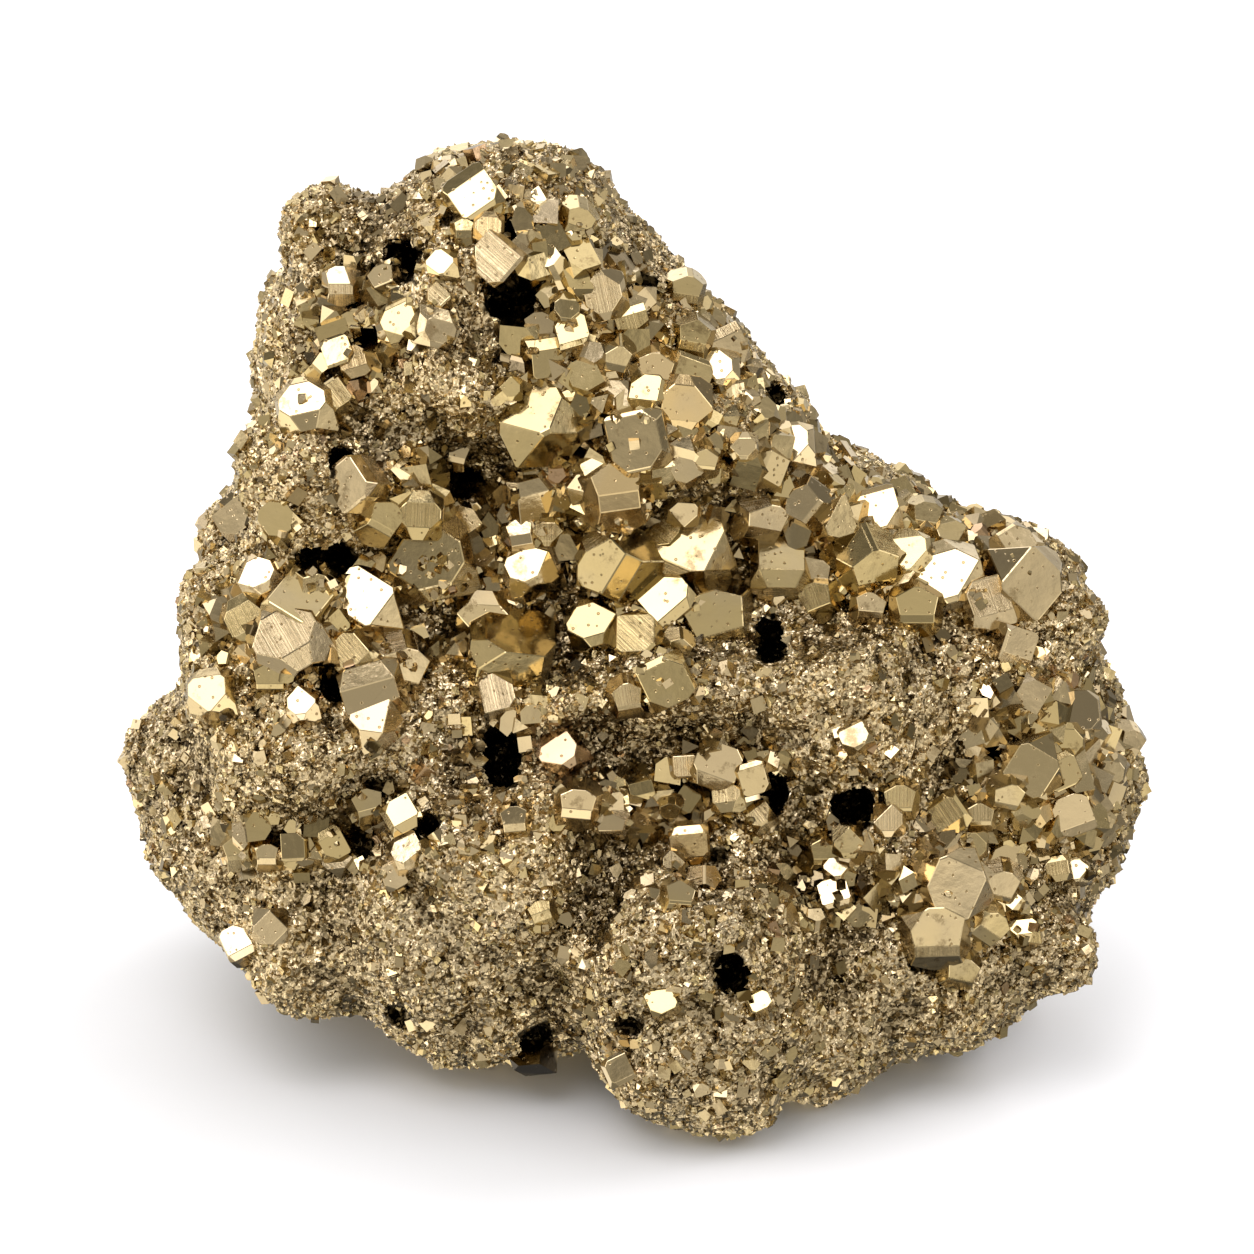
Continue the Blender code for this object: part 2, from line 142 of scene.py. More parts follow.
def finishMaterial(material, bare, values):
    shader = bare.add("ShaderNodeBsdfPrincipled", {}, values)
    bare.add("ShaderNodeOutputMaterial", {}, {"Surface": shader})
    return material


brass = {
    "pale": (0.65, 0.52, 0.31),
    "olive": (0.52, 0.41, 0.20),
    "gold": (0.64, 0.47, 0.22),
    "grey": (0.50, 0.41, 0.26),
    "copper": (0.43, 0.27, 0.17),
    "tarnish": (0.20, 0.13, 0.05),
    # painted shade: the dark of creases, crystal roots and seams between grains, where light does not reach
    "paintedShade": (0.05, 0.032, 0.01),
    # painted shade inside the pockets
    "pocket": (0.030, 0.021, 0.009),
}

# winding lines of painted shade between grains: how close, how wide
seamLines = {"scale": 800.0, "width": (0.008, 0.030)}


def opaque(colour):
    return (*colour, 1.0)


def painted(bare, colour, mask, name, span=None, share=1.0):
    # one brass over another where the mask lies above a span
    if span:
        mask = mask.between(*span)
    return bare.mixed(mask * share, colour, opaque(brass[name]))


# painted shade: dark winding lines where the gaps between grains lie in shade
def seamShade(bare, place):
    winding = bare.clouds(place, seamLines["scale"], 2.0)
    return 1.0 - bare.maths("ABSOLUTE", winding - 0.5).between(*seamLines["width"])


finishes = {
    # root: where the painted shade at a crystal's root ends; swell: how high and how close a face's waves
    # are
    "bigFaces": {"roughness": 0.05, "cloudy": 0.12, "swell": (0.05, 260.0), "stain": 0.6, "shade": 0.6,
                 "root": (0.16, 0.52), "worn": True, "seamShade": 0.0},
    "druseFaces": {"roughness": 0.06, "cloudy": 0.12, "swell": (0.05, 300.0), "stain": 0.5, "shade": 0.55,
                   "root": (0.24, 0.72), "worn": True, "seamShade": 0.0},
    "fineFaces": {"roughness": 0.13, "cloudy": 0.14, "swell": (0.06, 2300.0), "stain": 0.35, "shade": 0.6,
                  "root": (0.10, 0.60), "worn": False, "seamShade": 0.5},
}

# what every flat face has: which brass from which draw on, how strong, then the patterns per metre
faceLook = {
    "grades": (("pale", (0.1, 0.8), 1.0), ("gold", (0.9, 0.96), 0.8), ("copper", (0.985, 0.99), 0.7)),
    "clouds": 110.0,
    "cloudSpan": (0.5, 0.7),
    "cloudShare": 0.5,
    "stains": 330.0,
    "stainSpan": (0.57, 0.68),
    "roughSpan": (0.5, 0.75),
    "roughShare": 0.2,
    # rootShare, sunkShare: how strong the painted shade is at a crystal's root and where it stands in a
    # crease
    "rootShare": 0.95,
    "sunkShare": 0.6,
    "pocks": 1150.0,
    "pockSpan": (0.10, 0.19),
    "pockDepth": 0.03,
    "pockShare": 0.75,
    "scratches": 1400.0,
    "scratchDepth": 0.012,
    "growthLines": 3.4,
    "growthWander": 0.5,
    "growthDepth": 0.07,
    "growthSpan": (0.5, 0.6),
    "growthShare": 0.45,
}


def facetMaterial(name, finish):
    # flat faces: bright, each in its own tone, with painted shade towards the crystal's root
    look = faceLook
    material, bare = startMaterial(name)
    place = bare.place()
    colour = opaque(brass["olive"])
    for grade, span, share in look["grades"]:
        colour = painted(bare, colour, bare.value("tone"), grade, span, share)
    clouds = bare.clouds(place, look["clouds"], 3.0)
    stain = bare.clouds(place, look["stains"], 5.0, 0.7)
    colour = painted(bare, colour, clouds, "grey", look["cloudSpan"], look["cloudShare"])
    colour = painted(bare, colour, stain, "tarnish", look["stainSpan"], finish["stain"])
    shade = finish["shade"] + bare.value("faceTone") * (1.0 - finish["shade"])
    shaded = bare.add("ShaderNodeCombineColor", {}, {0: shade, 1: shade, 2: shade})
    colour = bare.mixed(1.0, colour, shaded, "MULTIPLY")
    # painted shade: darker towards each crystal's root, where it stands in a crease, and along seams
    # between grains
    shadeMask = 1.0 - bare.value("rise").between(*finish["root"])
    shadeMask = shadeMask * look["rootShare"] + bare.value("sunk") * look["sunkShare"]
    if finish["seamShade"]:
        shadeMask = shadeMask + seamShade(bare, place) * finish["seamShade"]
    colour = painted(bare, colour, shadeMask.clamped(), "paintedShade")

    # heights in millimetres
    swell, closeness = finish["swell"]
    height = bare.clouds(place, closeness, 1.0) * swell
    if finish["worn"]:
        specks = bare.add("ShaderNodeTexVoronoi", {}, {"Vector": place, "Scale": look["pocks"]})
        pocks = 1.0 - specks.between(*look["pockSpan"])
        fine = bare.clouds(place, look["scratches"], 4.0)
        across = bare.value("lines") * look["growthLines"] + fine * look["growthWander"]
        ridges = bare.add("ShaderNodeTexNoise", {"noise_dimensions": "1D"}, {"W": across, "Detail": 3.0})
        lined = bare.value("lined")
        height = height - pocks * look["pockDepth"] + fine * look["scratchDepth"]
        height = height + ridges * lined * look["growthDepth"]
        colour = painted(bare, colour, pocks, "tarnish", share=look["pockShare"])
        lined = ridges.between(*look["growthSpan"]) * lined
        colour = painted(bare, colour, lined, "tarnish", share=look["growthShare"])
    bump = bare.add("ShaderNodeBump", {}, {"Strength": 1.0, "Distance": mm, "Height": height})
    roughness = finish["roughness"] + clouds * finish["cloudy"]
    roughness = roughness + stain.between(*look["roughSpan"]) * look["roughShare"]
    return finishMaterial(material, bare, {
        "Base Color": colour, "Metallic": 1.0, "Roughness": roughness, "Normal": bump})


groundLook = {
    # facets of three sizes: how many to a metre, how far they lean
    "facets": ((900.0, 0.5), (1900.0, 0.8), (3800.0, 0.7)),
    # per metre, detail, roughness
    "patches": (70.0, 4.0, 0.5),
    "grime": (420.0, 3.0, 0.7),
    "holes": (1500.0, 2.0, 0.5),
    # pattern, brass, where it sets in, how strong
    "layers": (
        ("patches", "grey", (0.38, 0.62), 1.0),
        ("middling", "pale", (0.6, 1.0), 0.6),
        ("grime", "tarnish", (0.52, 0.7), 0.4),
        ("fine", "tarnish", (0.72, 0.9), 0.55),
        # holes: small spots of painted shade where holes would lie in shade
        ("holes", "paintedShade", (0.58, 0.66), 0.85),
    ),
    # how far painted shade darkens it on bare ground between crystals, in creases and along seams
    "bareDark": 0.45,
    "cavityDark": 0.5,
    "seamDark": 0.5,
    "pitSpan": (0.2, 0.8),
    "roughness": (0.14, 0.08, 0.16),
}


def grainMaterial():
    # granular ground: every grain a tiny facet turned its own way
    look = groundLook
    material, bare = startMaterial("granularGround")
    place = bare.place()
    facet = bare.add("ShaderNodeNewGeometry", out=1)
    patterns = {name: bare.clouds(place, *look[name]) for name in ("patches", "grime", "holes")}
    for name, (scale, tilt) in zip(("broad", "middling", "fine"), look["facets"]):
        cells = bare.add("ShaderNodeTexVoronoi", {}, {"Vector": place, "Scale": scale}, out=1)
        lean = bare.vector("MULTIPLY", bare.vector("SUBTRACT", cells, (0.5, 0.5, 0.5)), (tilt, tilt, tilt))
        facet = bare.vector("ADD", facet, lean)
        patterns[name] = bare.add("ShaderNodeSeparateColor", {}, {0: cells}, out=0)
    facet = bare.vector("NORMALIZE", facet)

    colour = opaque(brass["pale"])
    for name, over, span, share in look["layers"]:
        colour = painted(bare, colour, patterns[name], over, span, share)
    # painted shade on bare ground between crystals, in creases and along seams
    shadeMask = bare.value("coarse") * look["bareDark"] + bare.value("cavity") * look["cavityDark"]
    shadeMask = shadeMask + seamShade(bare, place) * look["seamDark"]
    colour = painted(bare, colour, shadeMask.clamped(), "paintedShade")
    # painted shade inside the pockets
    colour = painted(bare, colour, bare.value("pit"), "pocket", look["pitSpan"])
    least, broad, middling = look["roughness"]
    roughness = least + patterns["broad"] * broad + patterns["middling"] * middling
    return finishMaterial(material, bare, {
        "Base Color": colour, "Metallic": 1.0, "Roughness": roughness, "Normal": facet})


# the massive body
body = {
    "drop": -1.2,
    # centre, radii
    "lobes": (
        ((0, 5, 30), (36, 27, 30)),  # core
        ((-12.8, 6, 72), (14.8, 16, 17.6)),  # crown
        ((-4.5, 6, 64.5), (14.5, 16, 16)),
        ((-25.6, 6, 68), (12.2, 14, 11.5)),  # upper left
        ((-28.5, 7, 77), (5, 7, 9)),  # ear
        ((4, 4, 55), (14.5, 18, 16)),  # slope
        ((-27, 2, 54), (12, 17, 13)),  # left shoulder
        ((-36.5, 1, 47.5), (6, 8, 5.5)),
        ((-29, 1, 40), (15, 20, 15)),  # left flank
        ((-30, 2, 24), (18.5, 22, 20)),  # left foot
        ((-41, 3, 23), (9, 12, 10)),
        ((-36.5, 2, 10), (5, 7, 6)),  # left toe
        ((-14, -8, 19), (19, 19, 18.5)),
        ((6, -24, 14), (12, 12, 14.5)),  # front foot
        ((18, 4, 42), (17, 20, 16)),  # right waist
        ((33, 3, 39), (12.5, 18, 13.5)),  # right shoulder
        ((33.5, 2, 26), (16.5, 20, 17)),
        ((26, -8, 17), (16.5, 17, 16.5)),  # right foot
        ((37, 3, 15), (9, 11, 12)),
        ((17, -14, 10), (10, 12, 11)),
        ((-22, 18, 14.5), (14, 13, 14.5)),  # back feet
        ((16, 20, 15.5), (14, 12, 15.5)),
        ((-20, 17, 30), (22, 17, 24)),
        ((14, 18, 31), (24, 16, 25)),
        ((-4, 14, 57), (18, 15, 18)),
    ),
    # hollows in the front: across, up, radii, how far off the surface they start
    "scoops": (
        (-12, 4, (17, 9, 8), 4),
        (14, 6, (16, 8, 8), 4),
        (-9, 30, (9, 9, 7), 4),
        (9, -18, (6, 7, 5), 3),
        (2, -12, (16, 3.5, 6), 3),
    ),
    # knobs on the front: across, up, radius, depth of the centre
    "knobs": (
        (-17, 30.5, 5, 1), (-16, 24.5, 6, 1.5), (-20.5, 21, 5, 1.5),
        (-29.5, 38, 5, 2.5), (-31.5, 14, 7, 3), (-38.5, 9.5, 4.5, 2.5),
        (-38.5, 2.5, 5.5, 3.5), (-18, 2, 5.5, 1), (-37.5, -6, 6.5, 3),
        (-45.5, -13, 5, 2.5), (-30.5, -11, 8, 4), (-35, -15.5, 5, 2.5),
        (-24, -12, 5.5, 2.5), (-20, -7, 7, 2.5), (-16.5, -19.5, 6, 2.5),
        (-2.5, -10, 6, 1.5), (3, -10.5, 4.5, 1), (-7.5, -16, 6, 2),
        (6.5, -6.5, 6.5, 2), (11.5, -8.5, 4.5, 1.5), (20, -2, 8, 2),
        (22.5, -9.5, 7.5, 2.5), (30, -6, 6.5, 3), (41, 1, 5.5, 4.5),
        (24.5, -21.5, 5.5, 2.5), (7, -29, 8, 4), (1.5, -33, 6, 3),
        (-12, -23, 9, 5), (-30, -31, 8, 5), (40, -30, 6, 3.5),
    ),
    # pockets, painted in shade inside: across, up, width, height, depth
    "pits": (
        (-11, 31.5, 3.6, 4.2, 9), (-21.8, 35.2, 2.5, 3.3, 8), (-16.5, 39.4, 3.9, 1.1, 6),
        (-11.4, 37.6, 1.9, 2.2, 6), (2, 33, 1.7, 1.9, 6), (-26.8, 31.4, 2.7, 1.2, 5),
        (-25.5, 27.8, 3.6, 1.7, 6), (-27.6, 24.3, 2.5, 1.4, 6), (14.5, 22.3, 1.6, 2.3, 5),
        (-4.5, 16.8, 2.7, 1.6, 6), (10, 16.8, 1.7, 1.6, 5), (-27.4, 15.6, 1.6, 2.7, 6),
        (-15.8, 13.8, 3.4, 2.2, 7), (-29, 6.5, 5.5, 2, 8), (13.8, -1.8, 2, 4.4, 8),
        (-28, -5, 2, 3.4, 7), (-12, -13, 2.7, 5.5, 10), (5.8, -14.8, 3.1, 1.6, 8),
        (13.8, -16, 2.3, 3.4, 8), (36.2, -12.2, 3.1, 2.8, 8), (-24, -15.6, 2, 1.2, 5),
        (21.8, -17.4, 3.6, 3, 9), (-26, -21, 3.1, 1.7, 6), (-33.2, -20.6, 2.8, 1.4, 6),
        (-19.5, -19, 2.3, 1.9, 7), (8.6, -21.8, 2, 1.4, 5), (10, -33.4, 2.3, 2.7, 7),
        (28.4, -32.3, 2.3, 1.7, 5), (0, -38.5, 2.2, 1.5, 6), (-22.2, -37.6, 2.3, 1.4, 5),
        (-8.8, -40, 2.5, 2.3, 6),
    ),
    "pitOverhang": 2.5,
    "pitFade": (1.12, 0.22),
    # the druse stays this many widths clear of a pocket's mouth
    "mouthClearance": 1.9,
    "pitSeed": 11,
    "lobeVoxel": 1.6,
    "scoopVoxel": 1.3,
    "soundVoxel": 1.1,
    "skinVoxel": 0.64,
    "creaseRounds": 6,
    "lumps": (("botryoids", 9.0, 2.2), ("rubble", 4.0, 1.4)),
    "grit": ("grit", 1.7, 0.55),
    "lumpMiddle": 0.4,
    # how far the mesh's points stray, at the least, for coarser ground, and at the most
    "crumple": 0.12,
    "crumpleLeast": 0.6,
    "crumpleCoarse": (0.6, 0.5),
    "crumpleMost": 0.28,
    "crumpleSeed": 21,
    # how far the ground lies under the grains' tips
    "under": 0.35,
    "cavityRounds": (14, 70),
    "cavityDepth": (0.22, 1.1),
    # winding creases between small nodules: how close, how wide, how deep, how patchy
    "creases": {"scale": 0.14, "width": 0.34, "depth": 0.55, "patches": 0.035, "gain": (0.9, 0.6),
                "shade": 0.75, "seed": 31},
}


def addBall(shape, centre, radii, turn=None):
    placing = Matrix.Translation(Vector(centre) * mm)
    if turn is not None:
        placing = placing @ turn.to_4x4()
    placing = placing @ Matrix.Diagonal((*(Vector(radii) * mm), 1.0))
    bmesh.ops.create_icosphere(shape, subdivisions=4, radius=1.0, matrix=placing)


def surfaceOf(thing):
    bpy.context.view_layer.update()
    return BVHTree.FromObject(thing, bpy.context.evaluated_depsgraph_get())


def dropFromEye(tree, across, up):
    # where the line of sight through a place of the view meets the surface
    seen = target + viewAcross * across + viewUp * up
    away = (seen - eye).normalized()
    point, normal, _, _ = tree.ray_cast(eye * mm, away)
    return (point / mm, normal, away) if point else (None, None, away)


def turnFromEye(away):
    across = away.cross(viewUp).normalized()
    up = across.cross(away).normalized()
    return Matrix((across, up, -away)).transposed()


def linkThing(name, data):
    made = bpy.data.objects.new(name, data)
    bpy.context.scene.collection.objects.link(made)
    return made


def addRemesh(thing, voxel):
    remesh = thing.modifiers.new("remesh", "REMESH")
    remesh.mode = "VOXEL"
    remesh.voxel_size = voxel * mm


def addLumps(thing, name, size, height):
    texture = bpy.data.textures.new(name, "VORONOI")
    texture.noise_scale = size * mm
    lumps = thing.modifiers.new(name, "DISPLACE")
    lumps.texture = texture
    lumps.texture_coords = "LOCAL"
    lumps.strength = -height * mm
    lumps.mid_level = body["lumpMiddle"]


def carve(thing, name, shape):
    mesh = bpy.data.meshes.new(name)
    shape.to_mesh(mesh)
    shape.free()
    cutter = linkThing(name, mesh)
    cut = thing.modifiers.new(name, "BOOLEAN")
    cut.operation = "DIFFERENCE"
    cut.use_self = True
    cut.object = cutter
    return cutter


def bake(thing, helper):
    # the mesh with its modifiers worked in, and the helper cleared away
    bpy.context.view_layer.update()
    settled = bpy.data.meshes.new_from_object(thing.evaluated_get(bpy.context.evaluated_depsgraph_get()))
    thing.modifiers.clear()
    thing.data = settled
    bpy.data.objects.remove(helper)


# crystal habits: how far from the middle their pyritohedral and octahedral faces cut a cube
habits = {
    "families": {"cube": (None, None), "cubocta": (None, 1.17), "pyrito": (0.97, None)},
    "pocket": (None, 1.2),
    "lead": {
        "cube": Vector((0, 0, 1)),
        "cubocta": Vector((0, 0, 1)),
        "pyrito": Vector((0, 1, 2)).normalized(),
    },
    "uneven": 0.07,
}


def anyDirection(chance):
    return Vector([chance.gauss(0, 1) for _ in range(3)]).normalized()


def familyFaces(pyrito, octa):
    # each outward direction of the two families, with what goes with its family
    for a, b in product((-1, 1), repeat=2):
        if pyrito:
            for normal in ((0, a, 2 * b), (2 * b, 0, a), (a, 2 * b, 0)):
                yield Vector(normal).normalized(), pyrito
        if octa:
            for c in (-1, 1):
                yield Vector((a, b, c)).normalized(), octa


def cutAway(shape, normal, distance):
    whole = shape.verts[:] + shape.edges[:] + shape.faces[:]
    bmesh.ops.bisect_plane(shape, geom=whole, plane_co=normal * distance, plane_no=normal, clear_outer=True)
    bmesh.ops.holes_fill(shape, edges=[edge for edge in shape.edges if edge.is_boundary])


def cutCrystal(family, chance):
    # a crystal in its own axes, with its cube faces about 1 from the middle
    shape = bmesh.new()
    bmesh.ops.create_cube(shape, size=2.0)
    low, high = 1 - habits["uneven"], 1 + habits["uneven"]
    planes = [(normal, distance * chance.uniform(low, high)) for normal, distance in familyFaces(*family)]
    for normal, distance in planes:
        cutAway(shape, normal, distance)
    bmesh.ops.recalc_face_normals(shape, faces=shape.faces)
    return shape


def facingTurn(habit, pan, tilt, spin):
    pan, tilt = math.radians(pan), math.radians(tilt)
    look = Vector((math.sin(pan) * math.cos(tilt), -math.cos(pan) * math.cos(tilt), math.sin(tilt)))
    lead = habits["lead"][habit].rotation_difference(look)
    return Matrix.Rotation(math.radians(spin), 3, look) @ lead.to_matrix()


def randomTurn(chance):
    axis = anyDirection(chance)
    return Matrix.Rotation(chance.uniform(0, 2 * math.pi), 3, axis)


def growSoundBody():
    # lobes and knobs in one skin, scooped and lumpy
    shape = bmesh.new()
    shift = Vector((0, 0, body["drop"]))
    for centre, radii in body["lobes"]:
        addBall(shape, Vector(centre) + shift, radii)
    mesh = bpy.data.meshes.new("granular_ground")
    shape.to_mesh(mesh)
    skin = linkThing("granular_ground", mesh)
    lobes = surfaceOf(skin)
    for across, up, radius, depth in body["knobs"]:
        point, _, away = dropFromEye(lobes, across, up)
        addBall(shape, point + away * depth, (radius,) * 3)
    shape.to_mesh(mesh)
    shape.free()
    addRemesh(skin, body["lobeVoxel"])
    scoops = bmesh.new()
    for across, up, radii, off in body["scoops"]:
        point, _, away = dropFromEye(lobes, across, up)
        addBall(scoops, point - away * off, radii, turnFromEye(away))
    cutter = carve(skin, "scoops", scoops)
    addRemesh(skin, body["scoopVoxel"])
    soften = skin.modifiers.new("soften", "SMOOTH")
    soften.iterations = body["creaseRounds"]
    for lump in body["lumps"]:
        addLumps(skin, *lump)
    addRemesh(skin, body["soundVoxel"])
    bake(skin, cutter)
    return skin, surfaceOf(skin)


def growPits(skin, sound):
    # the pockets cut in and the skin brought to a fine mesh; gives the hollows and their mouths
    chance = random.Random(body["pitSeed"])
    pits = bmesh.new()
    hollows, mouths = [], []
    for across, up, width, height, depth in body["pits"]:
        point, _, away = dropFromEye(sound, across, up)
        length = depth + body["pitOverhang"]
        middle = point + away * (depth - body["pitOverhang"]) / 2
        stretch = Matrix.Diagonal((width / length, height / length, 1.0))
        turn = turnFromEye(away) @ stretch @ randomTurn(chance)
        pocket = cutCrystal(habits["pocket"], chance)
        pocket.transform(Matrix.Translation(middle * mm) @ turn.to_4x4() @ Matrix.Scale(length / 2 * mm, 4))
        kept = bpy.data.meshes.new("pocket")
        pocket.to_mesh(kept)
        pocket.free()
        pits.from_mesh(kept)
        bpy.data.meshes.remove(kept)
        hollows.append((middle, turn * (length / 2)))
        mouths.append((point, (width + height) / 2 * body["mouthClearance"]))
    cutter = carve(skin, "pits", pits)
    addRemesh(skin, body["skinVoxel"])
    addLumps(skin, *body["grit"])
    bake(skin, cutter)
    return hollows, mouths


# how coarse the crystals are from place to place
zones = {
    "ground": 0.85,
    # across, up, half width, half height, usual crystal, bare ground between them, which is painted in
    # shade
    "places": (
        (-12, 43, 12, 5, 1, 0.1),  # crown
        (-8, 38, 8, 4, 1.4, 0.3),
        (2, 38, 5, 6, 0.7, 0),
        (11, 28, 4, 8, 1.2, 0.2),
        (-30, 37, 8, 7, 0.9, 0.1),  # upper left
        (-34, 28, 3, 12, 0.8, 0),
        (-5, 30, 8, 7, 1.9, 0.7),  # upper hollow
        (-26, 28, 5, 6, 1.6, 0.8),
        (-4, 13, 16, 9, 1.9, 0.7),  # middle basin
        (16, 16, 5, 5, 1.8, 0.6),
        (25, 8, 14, 6, 1.6, 0.5),  # right waist
        (-27, 1, 13, 6.5, 1.7, 0.6),  # left band
        (-16, 28, 4.5, 9, 0.7, 0),  # granular ridge
        (-20, 22, 5, 4, 0.8, 0),
        (-31, 14, 5, 5, 0.8, 0.2),
        (-18, 2.5, 4, 3, 0.7, 0),
        (22, -6, 9, 9, 0.7, 0),  # right knob
        (42, 0, 7, 8, 0.8, 0),
        (-36, -10, 14, 6, 0.75, 0),  # left knob
        (-20, -7, 6, 5, 0.9, 0.1),
        (-28, -20, 12, 3, 1.6, 0.8),  # row of pockets
        (0, -13, 14, 7, 1.5, 0.6),  # middle fold
        (-3, -10, 5, 4, 0.75, 0),
        (3, -10, 3, 3, 0.7, 0),
        (-8, -15, 4.5, 4, 0.9, 0.1),
        (-18, -20, 6, 6, 1, 0.1),
        (41, -13, 7, 8, 2, 0.3),  # right cluster
        (33, -25, 6, 7, 1.6, 0.3),
        (20, -24, 6, 5, 1.3, 0.2),
        (7, -36, 10, 9, 0.8, 0),  # front foot
        (34, -36, 14, 6.5, 0.6, 0),
        (-27, -32, 19, 8, 0.6, 0),
    ),
    "edge": 0.35,
    "frontFade": (0.15, 0.4),
    # the ground is finer where it rounds away: from how far behind the outline to how far before it
    "outline": (-0.80, 0.42),
    "outlineGrain": 0.75,
    "downFade": 0.4,
    "backScale": 0.055,
    "backGain": (0.8, 0.5),
    "backGrain": (0.8, 2.4),
    "backBare": 0.5,
    "backSeed": 5,
}

waves = {"count": 9, "spread": (0.6, 1.8), "level": 2.6}


def wavyField(points, scale, seed):
    # a smooth field between about -1 and 1
    draws = np.random.default_rng(seed)
    total = np.zeros(len(points))
    for _ in range(waves["count"]):
        direction = draws.normal(size=3)
        direction *= scale * draws.uniform(*waves["spread"]) / np.linalg.norm(direction)
        total += np.sin(points @ direction * 2 * math.pi + draws.uniform(0, 2 * math.pi))
    return total / waves["level"]


def ease(values):
    values = np.clip(values, 0, 1)
    return values * values * (3 - 2 * values)


def within(span, share):
    return span[0] + (span[1] - span[0]) * share


def patches(points, scale, seed, gain):
    return ease(wavyField(points, scale, seed) * gain[0] + gain[1])


def readZones(points, normals):
    # usual crystal width and bareness at each point
    aim = np.array(towardsEye)
    rays = points - np.array(eye)
    seen = np.array(eye) + rays * (display["distance"] / -(rays @ aim))[:, None] - np.array(target)
    across, up = seen @ np.array(viewAcross), seen @ np.array(viewUp)
    grain = np.full(len(points), zones["ground"])
    bare = np.zeros(len(points))
    for x, y, halfWidth, halfHeight, width, bareness in zones["places"]:
        away = np.hypot((across - x) / halfWidth, (up - y) / halfHeight)
        share = ease((1 + zones["edge"] - away) / (2 * zones["edge"]))
        grain += (width - grain) * share
        bare += (bareness - bare) * share
    shift, fade = zones["frontFade"]
    front = ease((normals @ aim + shift) / fade)
    patch = patches(points, zones["backScale"], zones["backSeed"], zones["backGain"])
    backGrain = within(zones["backGrain"], patch)
    grain = backGrain + (grain - backGrain) * front
    bare = zones["backBare"] * patch * (1 - front) + bare * front
    behind, before = zones["outline"]
    turned = 1 - ease(2 * np.abs(normals @ aim - (behind + before) / 2) / (before - behind))
    downward = ease(-normals[:, 2] / zones["downFade"])
    grain += (np.minimum(grain, zones["outlineGrain"]) - grain) * np.maximum(ease(turned * 2), downward)
    return grain, bare


def storeValues(mesh, label, domain, values):
    stored = mesh.attributes.new(label, "FLOAT", domain)
    stored.data.foreach_set("value", values.astype(np.float32))


def readValues(items, label, each=1, kind=np.float32):
    values = np.empty(len(items) * each, kind)
    items.foreach_get(label, values)
    return values.reshape(-1, each) if each > 1 else values


def fillMesh(name, points, loops, sizes, attributes):
    # nothing reaches below the floor
    points[:, 2] = np.maximum(points[:, 2], 0)
    mesh = bpy.data.meshes.new(name)
    mesh.vertices.add(len(points))
    mesh.vertices.foreach_set("co", (points * mm).astype(np.float32).ravel())
    mesh.loops.add(len(loops))
    mesh.loops.foreach_set("vertex_index", loops.astype(np.int32))
    mesh.polygons.add(len(sizes))
    starts = np.concatenate(([0], np.cumsum(sizes)[:-1])).astype(np.int32)
    mesh.polygons.foreach_set("loop_start", starts)
    mesh.update(calc_edges=True)
    mesh.shade_flat()
    for label, (domain, values) in attributes.items():
        storeValues(mesh, label, domain, values)
    return mesh


def finishPiece(thing, material):
    thing.data.materials.clear()
    thing.data.materials.append(material)
    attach(thing, "root")
    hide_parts("pyrite_cluster")


def pitDepth(points, hollows):
    # 1 well inside a pocket, fading to 0 just outside it; also the mask for the pockets' painted shade
    deep = np.zeros(len(points))
    edge, fade = body["pitFade"]
    for middle, stretch in hollows:
        back = np.array(stretch.inverted())
        local = np.abs((points - np.array(middle)) @ back.T).max(axis=1)
        deep = np.maximum(deep, ease((edge - local) / fade))
    return deep


def cavityDepth(mesh, points, normals):
    # 1 in creases between lumps, 0 on them
    first, second = readValues(mesh.edges, "vertices", 2, np.int32).T
    count = np.bincount(first, minlength=len(points)) + np.bincount(second, minlength=len(points))
    smooth = points.copy()
    cavity = np.zeros(len(points))
    rounds = 0
    for wanted, depth in zip(body["cavityRounds"], body["cavityDepth"]):
        while rounds < wanted:
            sums = [np.bincount(first, smooth[second, k], len(points))
                    + np.bincount(second, smooth[first, k], len(points)) for k in range(3)]
            smooth = np.stack(sums, axis=1) / count[:, None]
            rounds += 1
        cavity = np.maximum(cavity, ease(((smooth - points) * normals).sum(axis=1) / depth))
    return cavity


def creaseDepth(points):
    crease = body["creases"]
    line = ease(1 - np.abs(wavyField(points, crease["scale"], crease["seed"])) / crease["width"])
    return line * patches(points, crease["patches"], crease["seed"] + 1, crease["gain"])


def dressSkin(skin, hollows):
    # crumples the ground, and reads how it is at each point
    mesh = skin.data
    points = readValues(mesh.vertices, "co", 3).astype(float) / mm
    normals = readValues(mesh.vertices, "normal", 3).astype(float)
    creased = creaseDepth(points)
    cavity = np.maximum(cavityDepth(mesh, points, normals), creased * body["creases"]["shade"])
    grain, bare = readZones(points, normals)
    deep = pitDepth(points, hollows)
    draws = np.random.default_rng(body["crumpleSeed"])
    start, slope = body["crumpleCoarse"]
    reach = body["crumpleLeast"] + slope * np.clip(grain - start, 0, 1)
    crumple = draws.normal(size=points.shape) * body["crumple"] * reach[:, None]
    sunk = body["under"] + creased * body["creases"]["depth"]
    moved = points + np.clip(crumple, -body["crumpleMost"], body["crumpleMost"]) - normals * sunk[:, None]
    moved[:, 2] = np.maximum(moved[:, 2], 0)
    mesh.vertices.foreach_set("co", (moved * mm).astype(np.float32).ravel())
    mesh.update()
    mesh.shade_flat()
    # masks for painted shade: bare ground between crystals (coarse), pockets (pit) and creases (cavity)
    for label, values in (("coarse", bare), ("pit", deep), ("cavity", cavity)):
        storeValues(mesh, label, "POINT", values)
    return normals, grain, bare, deep, cavity


